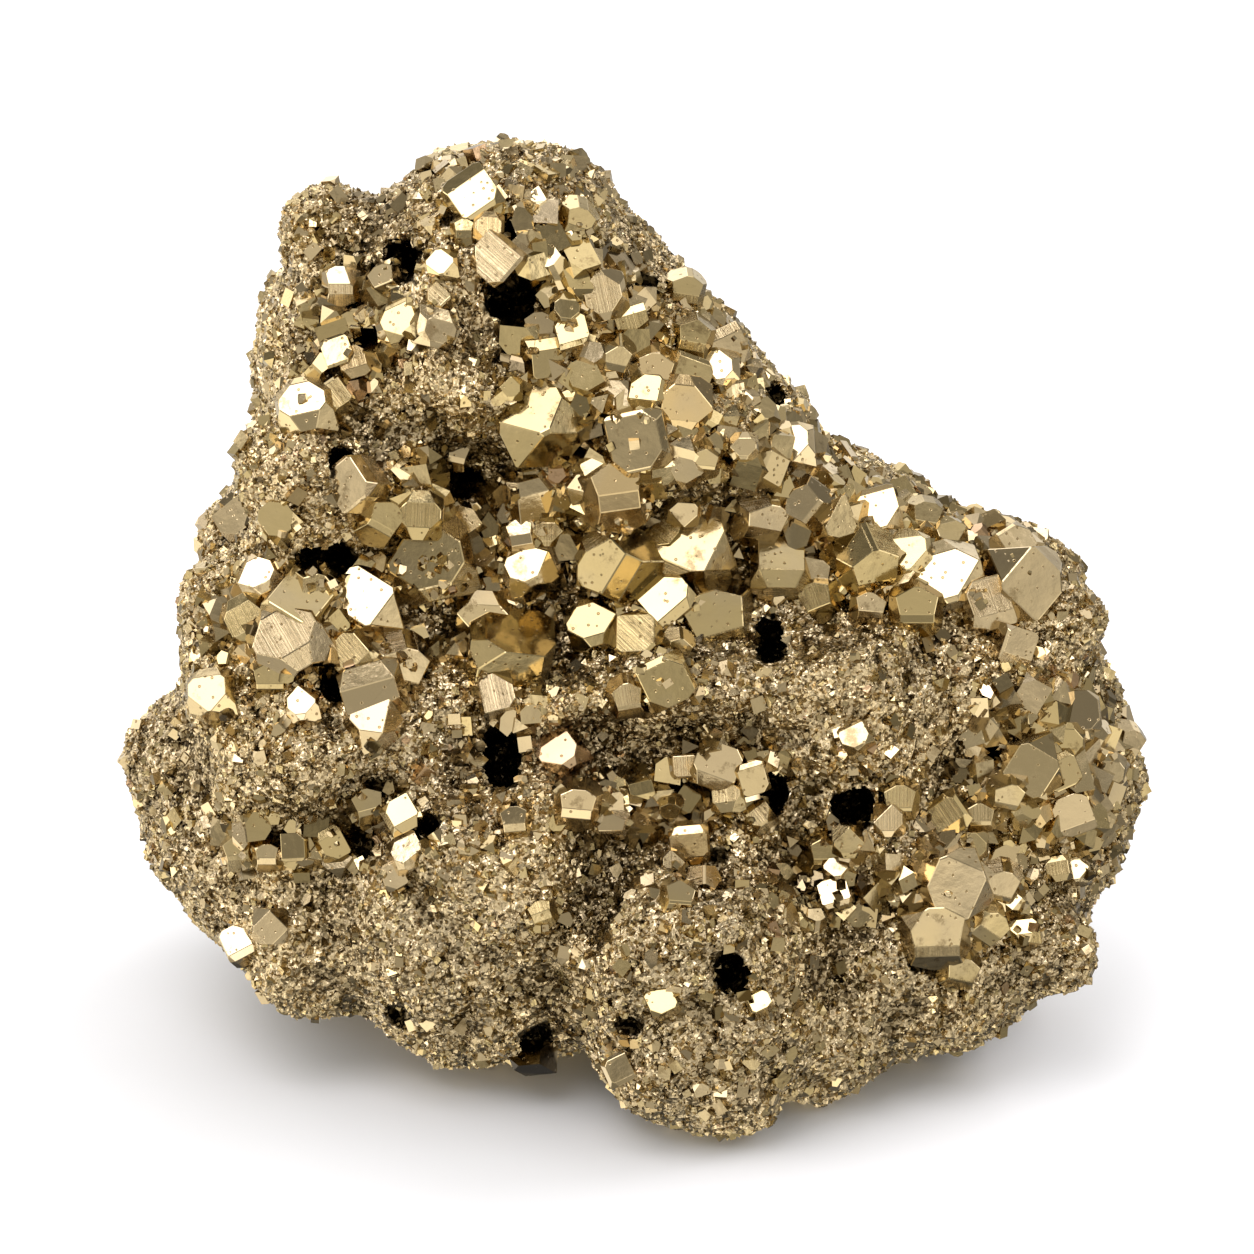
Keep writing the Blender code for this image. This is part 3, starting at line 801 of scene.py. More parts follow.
bigCrystals = {
    # across, up, width, habit, then how the leading face looks: pan, tilt, spin
    "front": (
        (-15, 41.7, 4.6, "cube", -8, 30, 30), (-4.6, 39.4, 3.8, "pyrito", 15, 10, 0),
        (-12.1, 35, 4.2, "cube", -14, 26, 40), (-2, 31.9, 4.6, "cubocta", 4, 18, 15),
        (5.9, 32.7, 3.8, "pyrito", 8, 20, 0), (-27.4, 33.2, 3.8, "pyrito", 0, 35, 0),
        (6.6, 28.2, 4.2, "pyrito", 10, 22, 0), (9.6, 27, 3.8, "cube", 15, 18, 35),
        (-0.9, 26.4, 3.7, "pyrito", 10, 8, 0), (3, 25, 4.4, "pyrito", 5, 18, 0),
        (5.8, 24.4, 3.9, "cube", 25, 12, 0), (9.2, 24.8, 3.9, "cubocta", -10, 38, 0),
        (2.1, 22.4, 3.8, "cubocta", -12, 41, 30), (5.5, 21.8, 5.2, "cubocta", 8, 18, 0),
        (-30.9, 21.2, 5.3, "cubocta", -13, 41, 5), (-8.8, 19.3, 7.2, "cubocta", -14, 42, 20),
        (1.3, 18, 5.5, "cube", -14, 14, 2), (16.6, 17.3, 4, "cubocta", -8, 38, 0),
        (-1.6, 12.6, 6.8, "pyrito", 2, 30, 10), (-9.6, 12.4, 5.2, "cube", 22, -6, 30),
        (-25.6, 13.8, 4.4, "cube", -25, 20, 20), (17.3, 12, 4.8, "pyrito", -10, 15, 40),
        (24.3, 11.2, 4.4, "cube", -10, 40, 10), (28.7, 11, 3.7, "pyrito", 10, 25, 0),
        (12.6, 10.4, 5.4, "pyrito", 20, 2, 15), (-19.8, 10.3, 4.6, "cubocta", 4, 18, 0),
        (-23.8, 9.9, 4.8, "pyrito", 25, 15, 0), (37, 8, 3.8, "cube", 25, 30, 45),
        (27.3, 7.2, 4.6, "cubocta", -12, 42, 0), (6.6, 6.9, 6.8, "cubocta", -10, 38, 15),
        (-0.8, 6.4, 7.8, "pyrito", -14, 8, 40), (23, 6.3, 6.2, "pyrito", 15, 0, 30),
        (-18.4, 6.2, 8, "cubocta", -4, 22, 10), (14.6, 5.4, 5.7, "cube", 3, 50, 0),
        (-9.3, 5.2, 4.9, "cubocta", -12, 41, 20), (31.6, 4.8, 6.6, "cubocta", -12, 41, 10),
        (38.2, 4.8, 6.8, "cubocta", 18, 20, 15), (-35.2, 4.4, 4.2, "cubocta", -13, 42, 20),
        (-29.9, 3.8, 4.6, "pyrito", 12, 14, 0), (18.6, 3, 4.4, "pyrito", -20, 20, 0),
        (4.6, 2.6, 4.6, "cube", -20, 35, 30), (34.3, 2.2, 4.8, "cube", 24, 34, 30),
        (-24.4, 2.1, 6.2, "cubocta", -13, 41, 5), (28, 2, 5, "pyrito", 0, 28, 0),
        (23.2, 2, 3.8, "pyrito", 5, 30, 0), (-31.6, 1.9, 5.2, "cube", 10, 50, -30),
        (8.8, 1.4, 7.6, "pyrito", 4, 22, 20), (-36.4, 1.2, 4.2, "cube", -12, 22, 20),
        (-14, 1, 5, "cubocta", 5, 24, 0), (-3.3, 0, 4.8, "cubocta", -12, 41, 10),
        (0.8, -0.9, 4.6, "cubocta", -12, 40, 40), (-32.3, -1.6, 6.8, "cubocta", -12, 38, 25),
        (-25.8, -2.4, 3.8, "cube", -20, 20, 30), (-11.6, -2.6, 7.8, "cube", 3, -14, -6),
        (-21.8, -3, 5.8, "pyrito", 20, 12, 10), (-34.4, -4.6, 3.9, "pyrito", 0, 20, 0),
        (3.8, -4.8, 4.5, "cube", -6, 20, 22), (-24.6, -5.8, 5.8, "cube", 6, 4, 20),
        (-0.2, -6.2, 3.7, "pyrito", 0, 14, 10), (-40, -6.8, 4.4, "cubocta", -14, 40, 0),
        (43.9, -8.2, 3.7, "cube", 10, 30, 10), (-24.3, -9, 4.8, "cubocta", -12, 42, 30),
        (-6, -12, 4.2, "cubocta", -10, 36, 30), (39.2, -13, 5.2, "cubocta", -5, 8, 10),
        (8.2, -13.6, 4.2, "cube", 8, 22, -15), (36.4, -15.8, 4, "pyrito", 10, 5, 0),
        (26.4, -16.6, 3.8, "pyrito", 0, 20, 0), (-25, -17.3, 3.8, "pyrito", 5, 25, 20),
        (-4.5, -17.3, 4.4, "pyrito", 5, 20, 0), (31.2, -17.8, 3.8, "cube", -20, 12, 20),
        (43, -18.2, 3.7, "cube", 0, 25, 20), (-1.3, -18.8, 3.7, "pyrito", 0, 5, 0),
        (6.2, -20.6, 3.7, "cube", 0, 12, 5), (18.8, -21.4, 3.8, "pyrito", 0, 12, 0),
        (35.8, -24.4, 4.8, "pyrito", 12, 10, 0), (31.8, -24.6, 6.2, "cubocta", -2, 14, 20),
        (34.5, -28.2, 4.6, "pyrito", 25, 0, 0), (29.6, -29.2, 6.6, "pyrito", -2, 16, 0),
        (32, -33, 3.8, "pyrito", 10, 8, 0), (-38.6, -33, 4.6, "cube", -14, 22, 32),
    ),
    # the same for the small crystals between them
    "smallFront": (
        (-21.8, 29, 3.6, "cube", -12, 41, 20), (-18.6, 29.2, 3.6, "cubocta", 20, 14, 0),
        (-17.8, 31.4, 2.2, "cube", -12, 41, 40), (-8.4, 26.2, 3.5, "cube", 30, 10, 30),
        (19.9, 10.2, 3.6, "cube", 20, 30, 30), (-37.6, 10.4, 3.6, "cube", -25, 30, 20),
        (-10.1, 8.8, 3.5, "pyrito", -10, 30, 0), (-7.6, 9, 3, "cubocta", 0, 25, 0),
        (36.9, -1.4, 3.5, "cube", 30, 8, 5), (-12.6, -6.6, 3.5, "cube", -8, 38, 10),
        (-37.6, -21.6, 3.6, "pyrito", -10, 30, 0), (2.1, 20.4, 3, "pyrito", 0, 22, 0),
        (-27.9, 22, 3, "cube", -12, 41, 30), (0.6, 29.4, 3, "cube", 5, 15, 20),
        (-5.2, 28.2, 3.2, "cube", -10, 35, 10), (-6, 30.6, 2.8, "cubocta", 10, 25, 0),
        (-23.5, 33.6, 3.2, "pyrito", -20, 25, 0), (-27.8, 26.3, 2.8, "cube", 0, 30, 20),
        (-25.9, 25.3, 2.9, "cube", -10, 30, 10), (-17.6, 34.9, 2.8, "cubocta", -12, 38, 0),
        (-15.7, 38.2, 2.6, "pyrito", 0, 30, 0), (-13.4, 38.4, 2.8, "cubocta", 5, 30, 0),
        (-11, 23, 2.2, "cubocta", 0, 20, 0), (4, 9, 3, "cube", -25, 30, 35),
        (5.4, 10.9, 3, "cubocta", 5, 15, 0), (7.6, 15.8, 3.1, "pyrito", 5, 20, 0),
        (6, 15, 2.6, "cube", -15, 25, 20), (11.4, 17.4, 2.6, "cubocta", 0, 25, 0),
        (31, 9, 3.2, "cubocta", 10, 45, 20), (5, -1.4, 3, "pyrito", 10, 5, 0),
        (-2.9, 14.6, 3, "cube", -12, 34, 20), (-33.5, 10, 3.3, "cube", -15, 25, 30),
        (-31, -7.8, 3.2, "cubocta", -12, 38, 0), (-22, -18.4, 3.2, "cube", 0, 40, 30),
        (-28.4, -20.8, 3, "cube", 10, 20, 35), (-31.9, -21.3, 2.6, "cube", -5, 20, 0),
        (-21.5, -21.9, 3.2, "cube", 5, 42, 30), (-22.4, -24, 2.6, "cube", -15, 30, 20),
        (-34.6, -22, 3, "pyrito", 0, 20, 0), (-37.4, -30.8, 3.2, "cube", -15, 38, 20),
        (-34.5, -28.8, 3.3, "cubocta", 0, 20, 0), (11.8, -14.4, 3, "cube", 5, 15, 20),
        (5.7, -13.4, 2.2, "cube", -5, 20, 0), (9.6, -16.4, 3.2, "cubocta", -12, 35, 0),
        (1.2, -15.4, 2.4, "cube", 10, 30, 20), (4.2, -17.4, 2.6, "pyrito", 5, 0, 0),
        (-10.8, -18.4, 3.3, "pyrito", -5, 25, 0), (12.9, -18.4, 2.4, "cube", -12, 38, 30),
        (4.6, -22.6, 2.2, "cubocta", -5, 30, 0), (4.9, -25.6, 3.4, "pyrito", 5, 35, 0),
        (7.4, -24.4, 3.4, "pyrito", 0, -5, 0), (20.9, -20.6, 3, "cubocta", 0, 15, 0),
        (20, -23.3, 2.6, "cubocta", -12, 38, 0), (20, -25.8, 2.8, "cube", -12, 40, 10),
        (22.2, -10.9, 2.8, "cube", -12, 38, 20), (25.4, -18.4, 3, "cubocta", 0, 18, 0),
        (33.9, -18, 3.4, "pyrito", 0, 20, 0), (33.4, -20.8, 2.8, "cubocta", 0, 10, 0),
        (42.6, -10.8, 3.3, "cubocta", 5, 18, 0), (41.8, -13.6, 3.3, "cube", 10, 15, 30),
        (37.3, -26.2, 2.6, "cubocta", -12, 38, 0), (38.4, -29.4, 2.8, "cubocta", -12, 40, 0),
        (41.7, -23.2, 2.4, "cube", 0, 20, 10), (43.6, -23.7, 2.5, "cubocta", -12, 38, 0),
        (3.4, -36.4, 2.6, "cube", -12, 38, 20), (12.8, -36.2, 2.2, "cube", -12, 38, 20),
        (-1, -42.8, 2.8, "cube", -10, 30, 20), (-8, -27.8, 2.8, "pyrito", -12, 40, 10),
        (48.4, -10.6, 3.4, "pyrito", 20, 15, 0), (46.6, -13.4, 3.2, "cubocta", 10, 10, 0),
    ),
    "smallSeed": 3000,
    "frontSeed": 1000,
    "sink": 0.16,
    # crystals found by rays from all round, where the front's don't stand
    "outlineSink": 0.42,
    "ringCentre": (0.0, 4.0, 34.8),
    "ringRays": 160,
    "ringLowest": -0.35,
    "ringFront": -0.35,
    "ringBack": -0.6,
    "ringWidth": (3.6, 7.2),
    "ringClearance": 0.9,
    "patchSize": 17.0,
    "ringSeed": 2000,
    "bevel": 0.022,
    "weld": 0.01,
    "leastArea": 1e-6,
    "cornerCuts": (1.22, 1.66),
    "edgeCuts": (1.07, 1.42),
    "brokenShare": 0.35,
    "brokenCut": (0.92, 1.08),
    "linedShare": 0.16,
    # small crystals seated on the big ones, and crusts of them
    "seats": 2.2,
    "seatTop": 0.03,
    "seatRoot": 1.1,
    "seatWidth": (0.5, 1.5),
    "seatTaper": (1.2, 0.6),
    "cornerShare": 0.05,
    "crustShare": 0.42,
    "crustCount": 11.0,
    "crustReach": 0.45,
    "crustWidth": (0.35, 0.85),
    "swell": 1.02,
}


def frontPlaces(tree, rows, seed):
    for number, (across, up, width, habit, pan, tilt, spin) in enumerate(rows):
        point, normal, _ = dropFromEye(tree, across, up)
        if point is None:
            continue
        chance = random.Random(seed + number)
        centre = point - normal * (width * bigCrystals["sink"])
        yield centre, facingTurn(habit, pan, tilt, spin), width, habit, normal, chance


def ringPlaces(tree):
    count, lowest = bigCrystals["ringRays"], bigCrystals["ringLowest"]
    centre = Vector(bigCrystals["ringCentre"])
    for number in range(count):
        z = 1 - (1 - lowest) * (number + 0.5) / count
        angle = number * math.pi * (3 - math.sqrt(5))
        flat = math.sqrt(1 - z * z)
        direction = Vector((flat * math.cos(angle), flat * math.sin(angle), z))
        chance = random.Random(bigCrystals["ringSeed"] + number)
        turn = randomTurn(chance)
        share = chance.random()
        habit = chance.choice(sorted(habits["families"]))
        start = (centre + direction * display["distance"]) * mm
        point, normal, _, _ = tree.ray_cast(start, -direction)
        facing = normal.dot(towardsEye) if point else 1.0
        if facing > bigCrystals["ringFront"]:
            continue
        point = point / mm
        least, most = bigCrystals["ringWidth"]
        width = least + (most - least) * share * share
        patch = noise.noise(point / bigCrystals["patchSize"])
        if patch < 0 or point.z < width * bigCrystals["ringClearance"]:
            continue
        sink = bigCrystals["sink"] if facing < bigCrystals["ringBack"] else bigCrystals["outlineSink"]
        yield point - normal * (width * sink), turn, width, habit, normal, chance


def shareOut(shape, habit, chance):
    # small faces of the other families, no two crystals alike
    edgeCuts = bigCrystals["edgeCuts"] if habit != "pyrito" else None
    cornerCuts = bigCrystals["cornerCuts"] if habit != "cubocta" else None
    for normal, cut in familyFaces(edgeCuts, cornerCuts):
        cutAway(shape, normal, chance.uniform(*cut))
    if chance.random() < bigCrystals["brokenShare"]:
        cutAway(shape, anyDirection(chance), chance.uniform(*bigCrystals["brokenCut"]))


def overgrow(shape, turn, half, centre, outward, chance):
    # places for small crystals that sit on a big one, most of them near its root
    seats = []
    areas = [face.calc_area() for face in shape.faces]
    crust = anyDirection(chance)
    crusted = chance.random() < bigCrystals["crustShare"]
    if not crusted:
        crust *= 0
    number = bigCrystals["crustCount"] if crusted else bigCrystals["seats"]
    taper, slope = bigCrystals["seatTaper"]
    for face in chance.choices(shape.faces[:], weights=areas, k=int(number * half * half)):
        corners = chance.sample([vert.co for vert in face.verts], 3)
        shares = [chance.random() + bigCrystals["cornerShare"] for _ in corners]
        spot = sum((corner * share for corner, share in zip(corners, shares)), Vector()) / sum(shares)
        place = turn @ spot * half
        rise = place.dot(outward) / half * 0.5 + 0.5
        odds = bigCrystals["seatTop"] + (1 - rise) ** 2 * bigCrystals["seatRoot"]
        odds = odds * bigCrystals["seats"] / number
        if chance.random() < odds:
            width = chance.uniform(*bigCrystals["seatWidth"]) * (taper - slope * rise)
        elif place.dot(crust) > bigCrystals["crustReach"] * half:
            width = chance.uniform(*bigCrystals["crustWidth"])
        else:
            continue
        seats.append((centre + place, turn @ face.normal, width))
    return seats


def growBigCrystals(tree):
    domains = {"tone": "POINT", "rise": "POINT", "sunk": "POINT",
               "faceTone": "FACE", "lined": "FACE", "lines": "CORNER"}
    marks = {label: [] for label in domains}
    points, faces, grown, seats = [], [], [], []
    places = [*frontPlaces(tree, bigCrystals["front"], bigCrystals["frontSeed"]),
              *frontPlaces(tree, bigCrystals["smallFront"], bigCrystals["smallSeed"]), *ringPlaces(tree)]
    for centre, turn, width, habit, outward, chance in places:
        shape = cutCrystal(habits["families"][habit], chance)
        shareOut(shape, habit, chance)
        bmesh.ops.dissolve_degenerate(shape, dist=bigCrystals["weld"], edges=shape.edges[:])
        bmesh.ops.bevel(shape, geom=shape.edges[:], offset=bigCrystals["bevel"], segments=1, profile=0.5,
                        affect="EDGES")
        bmesh.ops.recalc_face_normals(shape, faces=shape.faces)
        half = width / 2 * bigCrystals["swell"]
        seats += overgrow(shape, turn, half, centre, outward, chance)
        first = len(points)
        tone = chance.random()
        for vert in shape.verts:
            place = turn @ vert.co * half
            points.append(centre + place)
            marks["tone"].append(tone)
            marks["rise"].append(place.dot(outward) / half * 0.5 + 0.5)
            marks["sunk"].append(0.0)
        for face in shape.faces:
            if face.calc_area() < bigCrystals["leastArea"]:
                continue
            faces.append([first + vert.index for vert in face.verts])
            axis = max(range(3), key=lambda k: abs(face.normal[k]))
            marks["faceTone"].append(chance.random())
            marks["lined"].append(float(chance.random() < bigCrystals["linedShare"]))
            marks["lines"] += [vert.co[(axis + 1) % 3] * half for vert in face.verts]
        shape.free()
        grown.append((centre, width))
    sizes = np.array([len(face) for face in faces])
    attributes = {label: (domains[label], np.array(values)) for label, values in marks.items()}
    mesh = fillMesh("big_crystals", np.array(points), np.concatenate(faces), sizes, attributes)
    return linkThing("big_crystals", mesh), grown, seats


# the smaller crystals
druse = {
    "seed": 77,
    "tries": 150000,
    "least": 0.9,
    "most": 4.6,
    "spread": (0.5, 1.8),
    "skew": 2.2,
    "closeness": 0.59,
    # how much nearer the druse may come to a big crystal
    "bigCloseness": 0.9,
    # under the first of these usual widths crystals stand alone, over the second they fill the ground
    "crowding": (0.85, 1.65),
    "sparse": 0.07,
    "floorClearance": 0.75,
    "sink": (0.08, 0.4),
    "stretch": 0.22,
    "lean": 0.28,
    # wider ones are coarse; how often each kind of crystal comes
    "coarseFrom": 1.9,
    "coarse": {"cube": 1.5, "cut": 4, "cubocta": 4, "pyrito": 4},
    "medium": {"cube": 3, "cut": 4, "cubocta": 1.5, "pyrito": 1.5, "octa": 0.6},
    "seated": {"cube": 3, "cut": 4, "cubocta": 1, "pyrito": 1, "octa": 0.5},
    "variants": 6,
}

# the finest grains, on what is left free
grit = {
    "kinds": {"cube": 3, "octa": 1, "tip": 6},
    "width": (0.36, 0.86),
    "skew": 1.7,
    "follow": (0.75, 1.25),
    "share": 0.62,
    "bareLoss": 0.45,
    "pitLoss": 0.85,
    "lowest": 0.6,
    "clear": 0.36,
    "sink": (0.0, 0.25),
    "pieces": ("druse_fine_left", "druse_fine_middle", "druse_fine_right"),
}

unitCrystals = {
    "kinds": ("cube", "cut", "cubocta", "pyrito", "octa", "tip"),
    "tip": ((1.2, -0.7, -0.5), (-1.2, -0.7, -0.5), (0, 1.4, -0.5), (0, 0, 1.2)),
    "tipFaces": ((0, 2, 1), (0, 1, 3), (1, 2, 3), (2, 0, 3)),
    "tipUneven": 0.2,
    "octaReach": 1.3,
    "cutCorners": 3,
    "cornerCut": (1.1, 1.4),
}


def unitCrystal(kind, chance):
    unit = unitCrystals
    if kind == "cut":
        shape = cutCrystal((None, None), chance)
        for corner in chance.sample(list(product((-1, 1), repeat=3)), unit["cutCorners"]):
            cutAway(shape, Vector(corner).normalized(), chance.uniform(*unit["cornerCut"]))
        return shape
    if kind not in ("octa", "tip"):
        return cutCrystal(habits["families"][kind], chance)
    shape = bmesh.new()
    if kind == "tip":
        corners = [shape.verts.new(corner) for corner in unit["tip"]]
        for trio in unit["tipFaces"]:
            shape.faces.new([corners[k] for k in trio])
        for vert in shape.verts:
            vert.co += Vector([chance.uniform(-unit["tipUneven"], unit["tipUneven"]) for _ in range(3)])
    else:
        reach = unit["octaReach"]
        ends = ((reach, 0, 0), (0, reach, 0), (-reach, 0, 0), (0, -reach, 0), (0, 0, reach), (0, 0, -reach))
        ends = [shape.verts.new(end) for end in ends]
        for k in range(4):
            shape.faces.new((ends[k], ends[(k + 1) % 4], ends[4]))
            shape.faces.new((ends[(k + 1) % 4], ends[k], ends[5]))
    return shape


def templates():
    # unit crystals of each kind, as arrays
    kinds = {kind: [] for kind in unitCrystals["kinds"]}
    for number in range(druse["variants"]):
        chance = random.Random(druse["seed"] + number)
        for kind in kinds:
            shape = unitCrystal(kind, chance)
            bmesh.ops.recalc_face_normals(shape, faces=shape.faces)
            points = np.array([vert.co for vert in shape.verts])
            loops = np.concatenate([[vert.index for vert in face.verts] for face in shape.faces])
            sizes = np.array([len(face.verts) for face in shape.faces])
            kinds[kind].append((points, loops, sizes))
            shape.free()
    return kinds


def randomTurns(draws, count):
    # evenly random rotation matrices
    quaternion = draws.normal(size=(count, 4))
    w, x, y, z = (quaternion / np.linalg.norm(quaternion, axis=1)[:, None]).T
    return np.stack([
        1 - 2 * (y * y + z * z), 2 * (x * y - z * w), 2 * (x * z + y * w),
        2 * (x * y + z * w), 1 - 2 * (x * x + z * z), 2 * (y * z - x * w),
        2 * (x * z - y * w), 2 * (y * z + x * w), 1 - 2 * (x * x + y * y)], axis=1).reshape(-1, 3, 3)


def standingTurns(draws, normals):
    # rotations that stand each crystal's own up along the surface's, spun at random
    lean = normals + draws.normal(size=normals.shape) * druse["lean"]
    up = lean / np.linalg.norm(lean, axis=1)[:, None]
    side = np.cross(up, draws.normal(size=normals.shape))
    side /= np.linalg.norm(side, axis=1)[:, None]
    return np.stack([side, np.cross(up, side), up], axis=2)


def growDruse(name, kinds, share, centres, normals, widths, sunk, draws, material):
    # one piece of many crystals; share: how often each kind comes
    names = list(share)
    odds = np.array([share[kind] for kind in names], float)
    picked = draws.choice(len(names), size=len(centres), p=odds / odds.sum())
    variant = draws.integers(0, druse["variants"], size=len(centres))
    turns = randomTurns(draws, len(centres))
    standing = standingTurns(draws, normals)
    stretch = 1 + draws.uniform(-druse["stretch"], druse["stretch"], size=(len(centres), 3))
    tones = draws.random(len(centres))
    gathered = {"points": [], "loops": [], "sizes": [], "tone": [], "rise": [], "sunk": []}
    first = 0
    for k, v in product(range(len(names)), range(druse["variants"])):
        rows = np.flatnonzero((picked == k) & (variant == v))
        if not len(rows):
            continue
        points, loops, sizes = kinds[names[k]][v]
        turn = standing[rows] if names[k] == "tip" else turns[rows]
        local = points[None] * stretch[rows][:, None] * (widths[rows] / 2)[:, None, None]
        placed = np.einsum("nij,nvj->nvi", turn, local)
        rise = np.einsum("nvi,ni->nv", placed, normals[rows]) / widths[rows][:, None] + 0.5
        placed += centres[rows][:, None]
        steps = first + np.arange(len(rows)) * len(points)
        gathered["points"].append(placed.reshape(-1, 3))
        gathered["loops"].append((loops[None] + steps[:, None]).ravel())
        gathered["sizes"].append(np.tile(sizes, len(rows)))
        gathered["tone"].append(np.repeat(tones[rows], len(points)))
        gathered["rise"].append(rise.ravel())
        gathered["sunk"].append(np.repeat(sunk[rows], len(points)))
        first += len(rows) * len(points)
    whole = {label: np.concatenate(parts) for label, parts in gathered.items()}
    sizes = whole["sizes"]
    attributes = {label: ("POINT", whole[label]) for label in ("tone", "rise", "sunk")}
    attributes["faceTone"] = ("FACE", draws.random(len(sizes)))
    mesh = fillMesh(name, whole["points"], whole["loops"], sizes, attributes)
    finishPiece(linkThing(name, mesh), material)
    print(name, len(centres), "crystals", int((sizes - 2).sum()), "triangles")


def treeOf(points):
    tree = KDTree(len(points))
    for number, point in enumerate(points):
        tree.insert(point, number)
    tree.balance()
    return tree


def tooNear(point, width, others, closeness):
    for other, otherWidth in others:
        gap = closeness * (width + otherWidth) / 2
        if (point[0] - other[0]) ** 2 + (point[1] - other[1]) ** 2 + (point[2] - other[2]) ** 2 < gap * gap:
            return True
    return False


def spacedOut(points, widths, blockers, closeness):
    # keeps points that stand clear of the blockers and of those kept before, widest first
    big = treeOf([centre for centre, _ in blockers])
    reach = [width for _, width in blockers]
    bigCloseness = closeness * druse["bigCloseness"]
    size = float(widths.max()) * closeness
    cells, kept = {}, []
    for row in np.argsort(-widths):
        point, width = points[row], float(widths[row])
        cell = [math.floor(part / size) for part in point]
        around = (cells.get((cell[0] + x, cell[1] + y, cell[2] + z), ())
                  for x, y, z in product((-1, 0, 1), repeat=3))
        if any(tooNear(point, width, others, closeness) for others in around):
            continue
        found = big.find_range(point, closeness * (width + max(reach)) / 2)
        if any(distance < bigCloseness * (width + reach[number]) / 2 for _, number, distance in found):
            continue
        cells.setdefault(tuple(cell), []).append((point, width))
        kept.append(row)
    return np.array(kept)


def growCrystalDruse(faces, grown, mouths, seats, kinds, draws, material):
    # the druse between the big crystals and on them; gives what the finest grains stay clear of
    odds = faces["area"] / faces["area"].sum(dtype=float)
    tries = draws.choice(len(odds), size=druse["tries"], p=odds)
    widths = faces["grain"][tries] * within(druse["spread"], draws.random(len(tries)) ** druse["skew"])
    clear = (widths > druse["least"]) & (widths < druse["most"]) & (faces["deep"][tries] < 0.5)
    clear &= faces["centre"][tries][:, 2] > widths * druse["floorClearance"]
    start, end = druse["crowding"]
    crowding = ease((faces["grain"][tries] - start) / (end - start))
    clear &= draws.random(len(tries)) < within((druse["sparse"], 1), crowding)
    tries, widths = tries[clear], widths[clear]
    kept = spacedOut(faces["centre"][tries], widths, grown + mouths, druse["closeness"])
    tries, widths = tries[kept], widths[kept]
    # sunk: how deep in a crease each crystal stands, for its painted shade
    outward, sunk = faces["outward"][tries], faces["cavity"][tries]
    sink = draws.uniform(*druse["sink"], len(tries)) * widths
    middles = faces["centre"][tries] - outward * sink[:, None]
    wide = widths > druse["coarseFrom"]
    for kind, chosen in (("coarse", wide), ("medium", ~wide)):
        growDruse("druse_" + kind, kinds, druse[kind], middles[chosen], outward[chosen], widths[chosen],
                  sunk[chosen], draws, material)
    seatPoints, seatNormals, seatWidths = (np.array(part) for part in zip(*seats))
    growDruse("druse_seated", kinds, druse["seated"], seatPoints, seatNormals, seatWidths,
              np.zeros(len(seats)), draws, material)
    return [centre for centre, _ in grown] + list(middles), [width for _, width in grown] + list(widths)


def growGrit(faces, blockers, reach, kinds, draws, material):
    # the finest grains stand on the faces of the skin that are still free
    tree = treeOf(blockers)
    centres = faces["centre"]
    share = grit["share"] * (1 - grit["bareLoss"] * faces["bare"])
    share = share * (1 - grit["pitLoss"] * ease(faces["deep"] * 2))
    free = draws.random(len(centres)) < share
    rows = np.array([row for row in np.flatnonzero(free & (centres[:, 2] > grit["lowest"]))
                     if all(distance > grit["clear"] * reach[number]
                            for _, number, distance in tree.find_n(centres[row], 2))])
    widths = within(grit["width"], draws.random(len(rows)) ** grit["skew"])
    widths = widths * np.clip(faces["grain"][rows], *grit["follow"])
    outward = faces["outward"][rows]
    middles = centres[rows] - outward * (widths * draws.uniform(*grit["sink"], len(rows)))[:, None]
    # sunk: how deep in a crease or pocket each grain stands, for its painted shade
    sunk = np.maximum(faces["cavity"], faces["deep"])[rows]
    order = np.argsort(centres[rows][:, 0])
    for name, part in zip(grit["pieces"], np.array_split(order, len(grit["pieces"]))):
        growDruse(name, kinds, grit["kinds"], middles[part], outward[part], widths[part], sunk[part],
                  draws, material)


def readFaces(mesh, grounds):
    normals, grain, bare, deep, cavity = grounds
    corners = readValues(mesh.loops, "vertex_index", kind=np.int32)
    vertex = corners[readValues(mesh.polygons, "loop_start", kind=np.int32)]
    return {
        "centre": readValues(mesh.polygons, "center", 3).astype(float) / mm,
        "area": readValues(mesh.polygons, "area"),
        "outward": normals[vertex], "grain": grain[vertex], "bare": bare[vertex],
        "deep": deep[vertex], "cavity": cavity[vertex],
    }


# floor and light
studio = {
    "floorHalf": 2200.0,
    "paper": ((0.57, 0.57, 0.56), (0.59, 0.59, 0.58)),
    "paperFibre": 40.0,
    # multiplies all the brightnesses below
    "strength": 1.65,
    "softboxTint": (1.0, 0.98, 1.05),
    "surroundTint": (1.0, 0.95, 0.86),
    "ambient": 0.78,
    # name, degrees round from the camera to the left, degrees up, distance, width, height, brightness
    "softboxes": (
        ("key", 33, 58, 700, 480, 420, 2.75),
        ("top", -20, 84, 700, 500, 300, 0.6),
        ("rightStrip", -72, 28, 700, 160, 620, 1.3),
        ("leftPanel", 88, 22, 700, 360, 520, 1.1),
        ("lowFront", 12, 3, 900, 300, 120, 1.3),
        ("back", 160, 42, 800, 700, 420, 0.9),
    ),
    # lights the floor alone
    "floorWash": ("floorWash", -115, 38, 800, 600, 500, 3.4),
    # what the faces mirror where no softbox stands, in soft spots: degrees round, degrees up, brightness
    "spots": (
        (0, -25, 0.5), (60, -25, 1.2), (120, -25, 0.6), (-120, -25, 0.2), (-60, -25, 0.9),
        (0, 15, 0.3), (60, 15, 0.3), (120, 15, 0.7), (180, 15, 0.9), (-60, 15, 0.1),
        (-120, 50, 0.4), (-60, 50, 0.4), (30, 0, 0.2),
    ),
    "spotTightness": 6.0,
    # the spots are broken up into lighter and darker cards
    "cards": {"scale": 2.4, "edge": (0.40, 0.60), "dark": 0.45, "light": 1.50},
}


